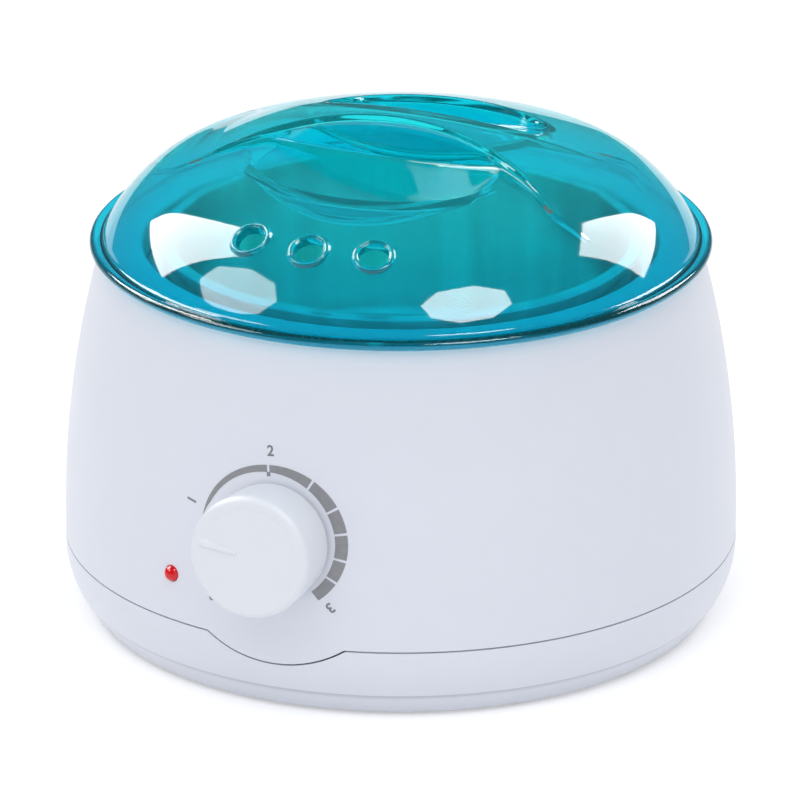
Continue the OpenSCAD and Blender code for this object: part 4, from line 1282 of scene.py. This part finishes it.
@dataclass
class DialPrint:
    """Scale printed on the wall round the knob: a band that tapers to the left, with breaks, and four numbers."""

    outer_r: float = 22.45
    inner_r: float = 18.75
    end_angle: float = -50.2
    turn_angle: float = 25.0
    tail_angle: float = 97.0
    tip_angle: float = 171.0
    outer_rise: float = 1.5
    rise_angle: float = 85.0
    outer_fall: float = 0.45
    fall_angle: float = 50.0
    inner_rise: float = 4.5
    taper_angle: float = 12.0
    least_w: float = 0.04
    break_w: float = 0.75
    breaks: tuple[float, ...] = (59.5, 32.0, 11.0, -11.0, -30.0)
    break_at: float = 20.8
    column: float = 2.5
    tick: tuple[float, float, float] = (97.0, 19.15, 1.15)
    lift: float = 0.03
    thick: float = 0.03
    text_size: float = 4.455
    bold: float = 0.09

    def wrapped(self, piece: Piece) -> Piece:
        """Lays a flat drawing onto the wall and gives it the ink's thickness.

        Args:
            piece: The drawing, in the dial's plane in millimetres.

        Returns:
            The same piece.
        """
        for v in piece.data.vertices:
            v.co = SIZES.on_wall(v.co.x, v.co.y, self.lift)
        piece.data.update()
        Bench.modified(piece, "SOLIDIFY", thickness=self.thick * MM, offset=1.0)
        Bench.outwards(piece)
        Bench.smooth(piece, 30)
        return piece

    def patch(
        self, name: str, columns: int, rows: int, place: Callable[[float, float], Pair]
    ) -> Piece:
        """Draws a patch of ink from a grid and wraps it onto the wall.

        Args:
            name: Name of the piece.
            columns: Columns of the grid.
            rows: Rows of the grid.
            place: Point of the dial, in millimetres, for a share of the grid's length and one of its width.

        Returns:
            The piece.
        """
        steps = {"x_subdivisions": columns, "y_subdivisions": rows}
        piece = Bench.started(name, bpy.ops.mesh.primitive_grid_add, size=1.0, **steps)
        for v in piece.data.vertices:
            v.co = (*place(v.co.x + 0.5, v.co.y + 0.5), 0)
        return self.wrapped(piece)

    def edges_at(self, angle: float) -> Pair:
        """Inner and outer radius of the band, which runs out to a point on the left.

        Args:
            angle: Angle round the knob in degrees.

        Returns:
            The two radii.
        """
        far = min(max((angle - self.rise_angle) / self.rise_angle, 0.0), 1.0)
        fall = self.outer_fall * (min(angle, 0.0) / self.fall_angle) ** 2
        outer = self.outer_r + self.outer_rise * far * far * (3 - 2 * far) - fall
        along = max(angle - self.turn_angle, 0.0) / (self.tip_angle - self.turn_angle)
        inner = self.inner_r + self.inner_rise * along**1.4
        taper = min(max((self.tip_angle - angle) / self.taper_angle, 0.0) ** 0.7, 1.0)
        return outer - (outer - inner) * taper - self.least_w, outer

    def band(self, name: str, start: float, end: float) -> Piece:
        """Draws a stretch of the band.

        Args:
            name: Name of the piece.
            start: First angle in degrees.
            end: Last angle.

        Returns:
            The piece.
        """

        def place(along: float, across: float) -> Pair:
            """Finds a point of the stretch.

            Args:
                along: Share of its length.
                across: Share of its width.

            Returns:
                The point.
            """
            angle = start + (end - start) * along
            low, high = self.edges_at(angle)
            r, a = low + (high - low) * across, math.radians(angle)
            return r * math.cos(a), r * math.sin(a)

        return self.patch(name, max(2, int(abs(end - start) / self.column)), 5, place)

    def dot(self) -> Piece:
        """Draws the small mark inside the band at its middle.

        Returns:
            The piece.
        """
        angle, low, width = self.tick
        a, high = math.radians(angle), self.edges_at(angle)[0] + 0.1

        def place(along: float, across: float) -> Pair:
            """Point of the mark for a share of its length and one of its width."""
            r, side = low + (high - low) * along, width * (across - 0.5)
            return r * math.cos(a) - side * math.sin(a), r * math.sin(a) + side * math.cos(a)

        return self.patch("dial_tick", 2, 2, place)

    def number(self, mark: Mark) -> Piece:
        """Draws one number, turned so that its foot points at the knob, or its head low on the left.

        Args:
            mark: The number.

        Returns:
            The piece.
        """
        text, angle, radius = mark.value
        piece = Bench.started(f"dial_number_{text}", bpy.ops.object.text_add)
        settings = {"body": text, "align_x": "CENTER", "align_y": "CENTER", "size": self.text_size}
        for name, value in (*settings.items(), ("offset", self.bold), ("resolution_u", 6)):
            setattr(piece.data, name, value)
        Bench.pick(piece)
        bpy.ops.object.convert(target="MESH")
        piece.data.name = piece.name
        a = math.radians(angle)
        turn = math.radians(angle - 90)
        move = Matrix.Translation((radius * math.cos(a), radius * math.sin(a), 0))
        Bench.placed(piece, move @ Matrix.Rotation(turn if angle > -90 else turn + math.pi, 4, "Z"))
        return self.wrapped(piece)

    def build(self) -> list[Piece]:
        """Draws the whole dial.

        Returns:
            Its pieces.
        """
        half = math.degrees(self.break_w / 2 / self.break_at)
        starts = [self.tip_angle, *(at - half for at in (self.tail_angle, *self.breaks))]
        ends = [*(at + half for at in (self.tail_angle, *self.breaks)), self.end_angle]
        bands = [self.band(f"dial_band_{i}", *span) for i, span in enumerate(zip(starts, ends), 1)]
        return [*bands, self.dot(), *map(self.number, Mark)]


# The studio


@dataclass(frozen=True)
class StudioLamp:
    """One soft lamp: where it hangs, how large it is, and whether it is the kind that the lid mirrors.

    A lamp with other than four corners is a glowing screen, which only reflections show.
    """

    name: str
    azimuth: float
    elevation: float
    away: float
    size: Pair
    power: float
    mirrored: bool = True
    corners: int = 4
    aim: tuple[float, float, float] = (0.0, 0.0, 0.12)

    def hang(self, direction: Vector) -> None:
        """Hangs the lamp so that it faces the warmer.

        Args:
            direction: Unit vector from the warmer to the lamp.
        """
        place = Matrix.Translation(Vector(self.aim) + direction * self.away)
        place = place @ direction.to_track_quat("Z", "Y").to_matrix().to_4x4()
        if self.corners != 4:
            self.screen(place)
            return
        data = bpy.data.lights.new(self.name, "AREA")
        data.shape = "RECTANGLE"
        data.size, data.size_y = self.size
        data.energy = self.power
        lamp = bpy.data.objects.new(self.name, data)
        bpy.context.collection.objects.link(lamp)
        lamp.matrix_world = place
        lamp.visible_diffuse = not self.mirrored
        lamp.visible_glossy = self.mirrored
        lamp.visible_transmission = False

    def screen(self, place: Matrix) -> None:
        """Hangs the glowing screen.

        Args:
            place: Place of the screen.
        """
        shape = {"vertices": self.corners, "radius": 0.5, "fill_type": "NGON"}
        screen = Bench.started(self.name, bpy.ops.mesh.primitive_circle_add, **shape)
        half = Matrix.Rotation(math.pi / self.corners, 4, "Z")
        Bench.placed(screen, place @ Matrix.Diagonal((*self.size, 1.0, 1.0)) @ half)
        g = Graph(self.name)
        g.show(g.add("Emission", {"Strength": self.power}).outputs[0])
        screen.data.materials.append(g.material)
        screen.visible_camera = screen.visible_diffuse = screen.visible_transmission = False
        screen.visible_shadow = screen.visible_volume_scatter = False


@dataclass
class Studio:
    """Camera, lights, floor and background."""

    azimuth: float = 21.7
    elevation: float = 21.14
    distance: float = 2.5
    aim_z: float = 0.0635
    focal_px: float = 8266.0
    picture_px: float = 800.0
    left_px: float = 1.0
    sensor: float = 36.0
    white: Colour = (1.0, 1.0, 1.0)
    cool: Colour = (0.95, 0.965, 1.0)
    even_light: float = 0.8
    mirrored_light: float = 0.12
    floor_glow: float = 0.32
    floor_tones: tuple[Colour, Colour] = ((0.93, 0.93, 0.935), (0.95, 0.95, 0.955))
    lamps: tuple[StudioLamp, ...] = (
        StudioLamp("left_box", -98.0, 37.0, 0.95, (0.5, 0.6), 12.5),
        StudioLamp("right_box", 142.0, 32.0, 0.95, (0.48, 0.48), 8.5),
        StudioLamp("left_screen", -53.0, 37.0, 0.95, (0.53, 0.46), 8.6, corners=8),
        StudioLamp("right_screen", 53.0, 48.0, 0.95, (0.5, 0.4), 13.0, corners=8),
        StudioLamp("front_panel", 10.0, 52.0, 1.6, (1.4, 1.1), 5.0, mirrored=False),
    )

    def toward(self, azimuth: float, elevation: float) -> Vector:
        """Unit vector from the warmer, by the angles in degrees from its front to the right and above the floor."""
        a, e = math.radians(azimuth), math.radians(elevation)
        return Vector((math.sin(a) * math.cos(e), -math.cos(a) * math.cos(e), math.sin(e)))

    def camera(self) -> None:
        """Sets up the camera at the photograph's angle."""
        data = bpy.data.cameras.new("camera")
        data.sensor_width = self.sensor
        data.lens = self.focal_px / self.picture_px * self.sensor
        data.shift_x = -self.left_px / self.picture_px
        data.clip_end = 20.0
        camera = bpy.data.objects.new("camera", data)
        bpy.context.collection.objects.link(camera)
        direction = self.toward(self.azimuth, self.elevation)
        camera.location = Vector((0, 0, self.aim_z)) + direction * self.distance
        camera.rotation_euler = direction.to_track_quat("Z", "Y").to_euler()
        bpy.context.scene.camera = camera

    def world(self) -> None:
        """Makes the surroundings: white in the picture and through the lid, even light, and dim in reflections."""
        world = bpy.data.worlds.new("studio")
        bpy.context.scene.world = world
        world.use_nodes = True
        tree = Nodes(world.node_tree)
        tree.nodes.clear()
        kinds = ((self.cool, self.even_light), (self.cool, self.mirrored_light), (self.white, 1.0))
        even, dim, white = (
            tree.add("Background", {"Color": colour, "Strength": strength}).outputs[0] for colour, strength in kinds
        )
        lit = tree.add("MixShader", {0: tree.rays("Glossy"), 1: even, 2: dim}).outputs[0]
        seen = tree.add("MixShader", {0: tree.rays("Camera", "Transmission"), 1: lit, 2: white}).outputs[0]
        tree.add("OutputWorld", {"Surface": seen})

    def floor(self) -> None:
        """Lays a pale floor that keeps the warmer's shadow."""
        shape = {"vertices": 96, "radius": 6.0, "fill_type": "NGON"}
        floor = Bench.started("studio_floor", bpy.ops.mesh.primitive_circle_add, **shape)
        g = Graph("studio_floor")
        g.put("Base Color", g.blend(g.noise(2.0), *self.floor_tones))
        g.put("Roughness", 0.6)
        g.put("Specular IOR Level", 0.1)
        plain = g.shader.outputs[0]
        glow = g.add("Emission", {"Strength": self.floor_glow}).outputs[0]
        bright = g.add("AddShader", {0: plain, 1: glow}).outputs[0]
        seen = g.rays("Camera", "Transmission", "Glossy")
        g.show(g.add("MixShader", {0: seen, 1: plain, 2: bright}).outputs[0])
        floor.data.materials.append(g.material)

    def build(self) -> None:
        """Sets the whole studio up, with the plain view transform."""
        bpy.context.scene.view_settings.view_transform = "Standard"
        self.camera()
        for lamp in self.lamps:
            lamp.hang(self.toward(lamp.azimuth, lamp.elevation))
        self.world()
        self.floor()


def main() -> None:
    """Builds the pieces in order and reports each one."""
    logging.basicConfig(level=logging.INFO, format="%(name)s: %(message)s")
    palette = Palette()
    Studio().build()
    palette.dress_solids()
    log.info("solids dressed: %d", len(frame["nodes"]))

    lid = LidShell().build()
    palette.dress(lid, "clear_lid")
    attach(lid, "lid")
    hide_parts("lid")
    log.info("lid: %d faces", len(lid.data.polygons))

    knob = KnobCap().build()
    palette.dress(knob, "white_knob")
    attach(knob, "control")
    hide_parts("knob")
    log.info("knob: %d faces", len(knob.data.polygons))

    for piece in DialPrint().build():
        palette.dress(piece, "fine_ink" if "number" in piece.name else "dial_ink")
        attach(piece, "warmer")
        log.info("%s: %d faces", piece.name, len(piece.data.polygons))


if __name__ == "__main__":
    main()
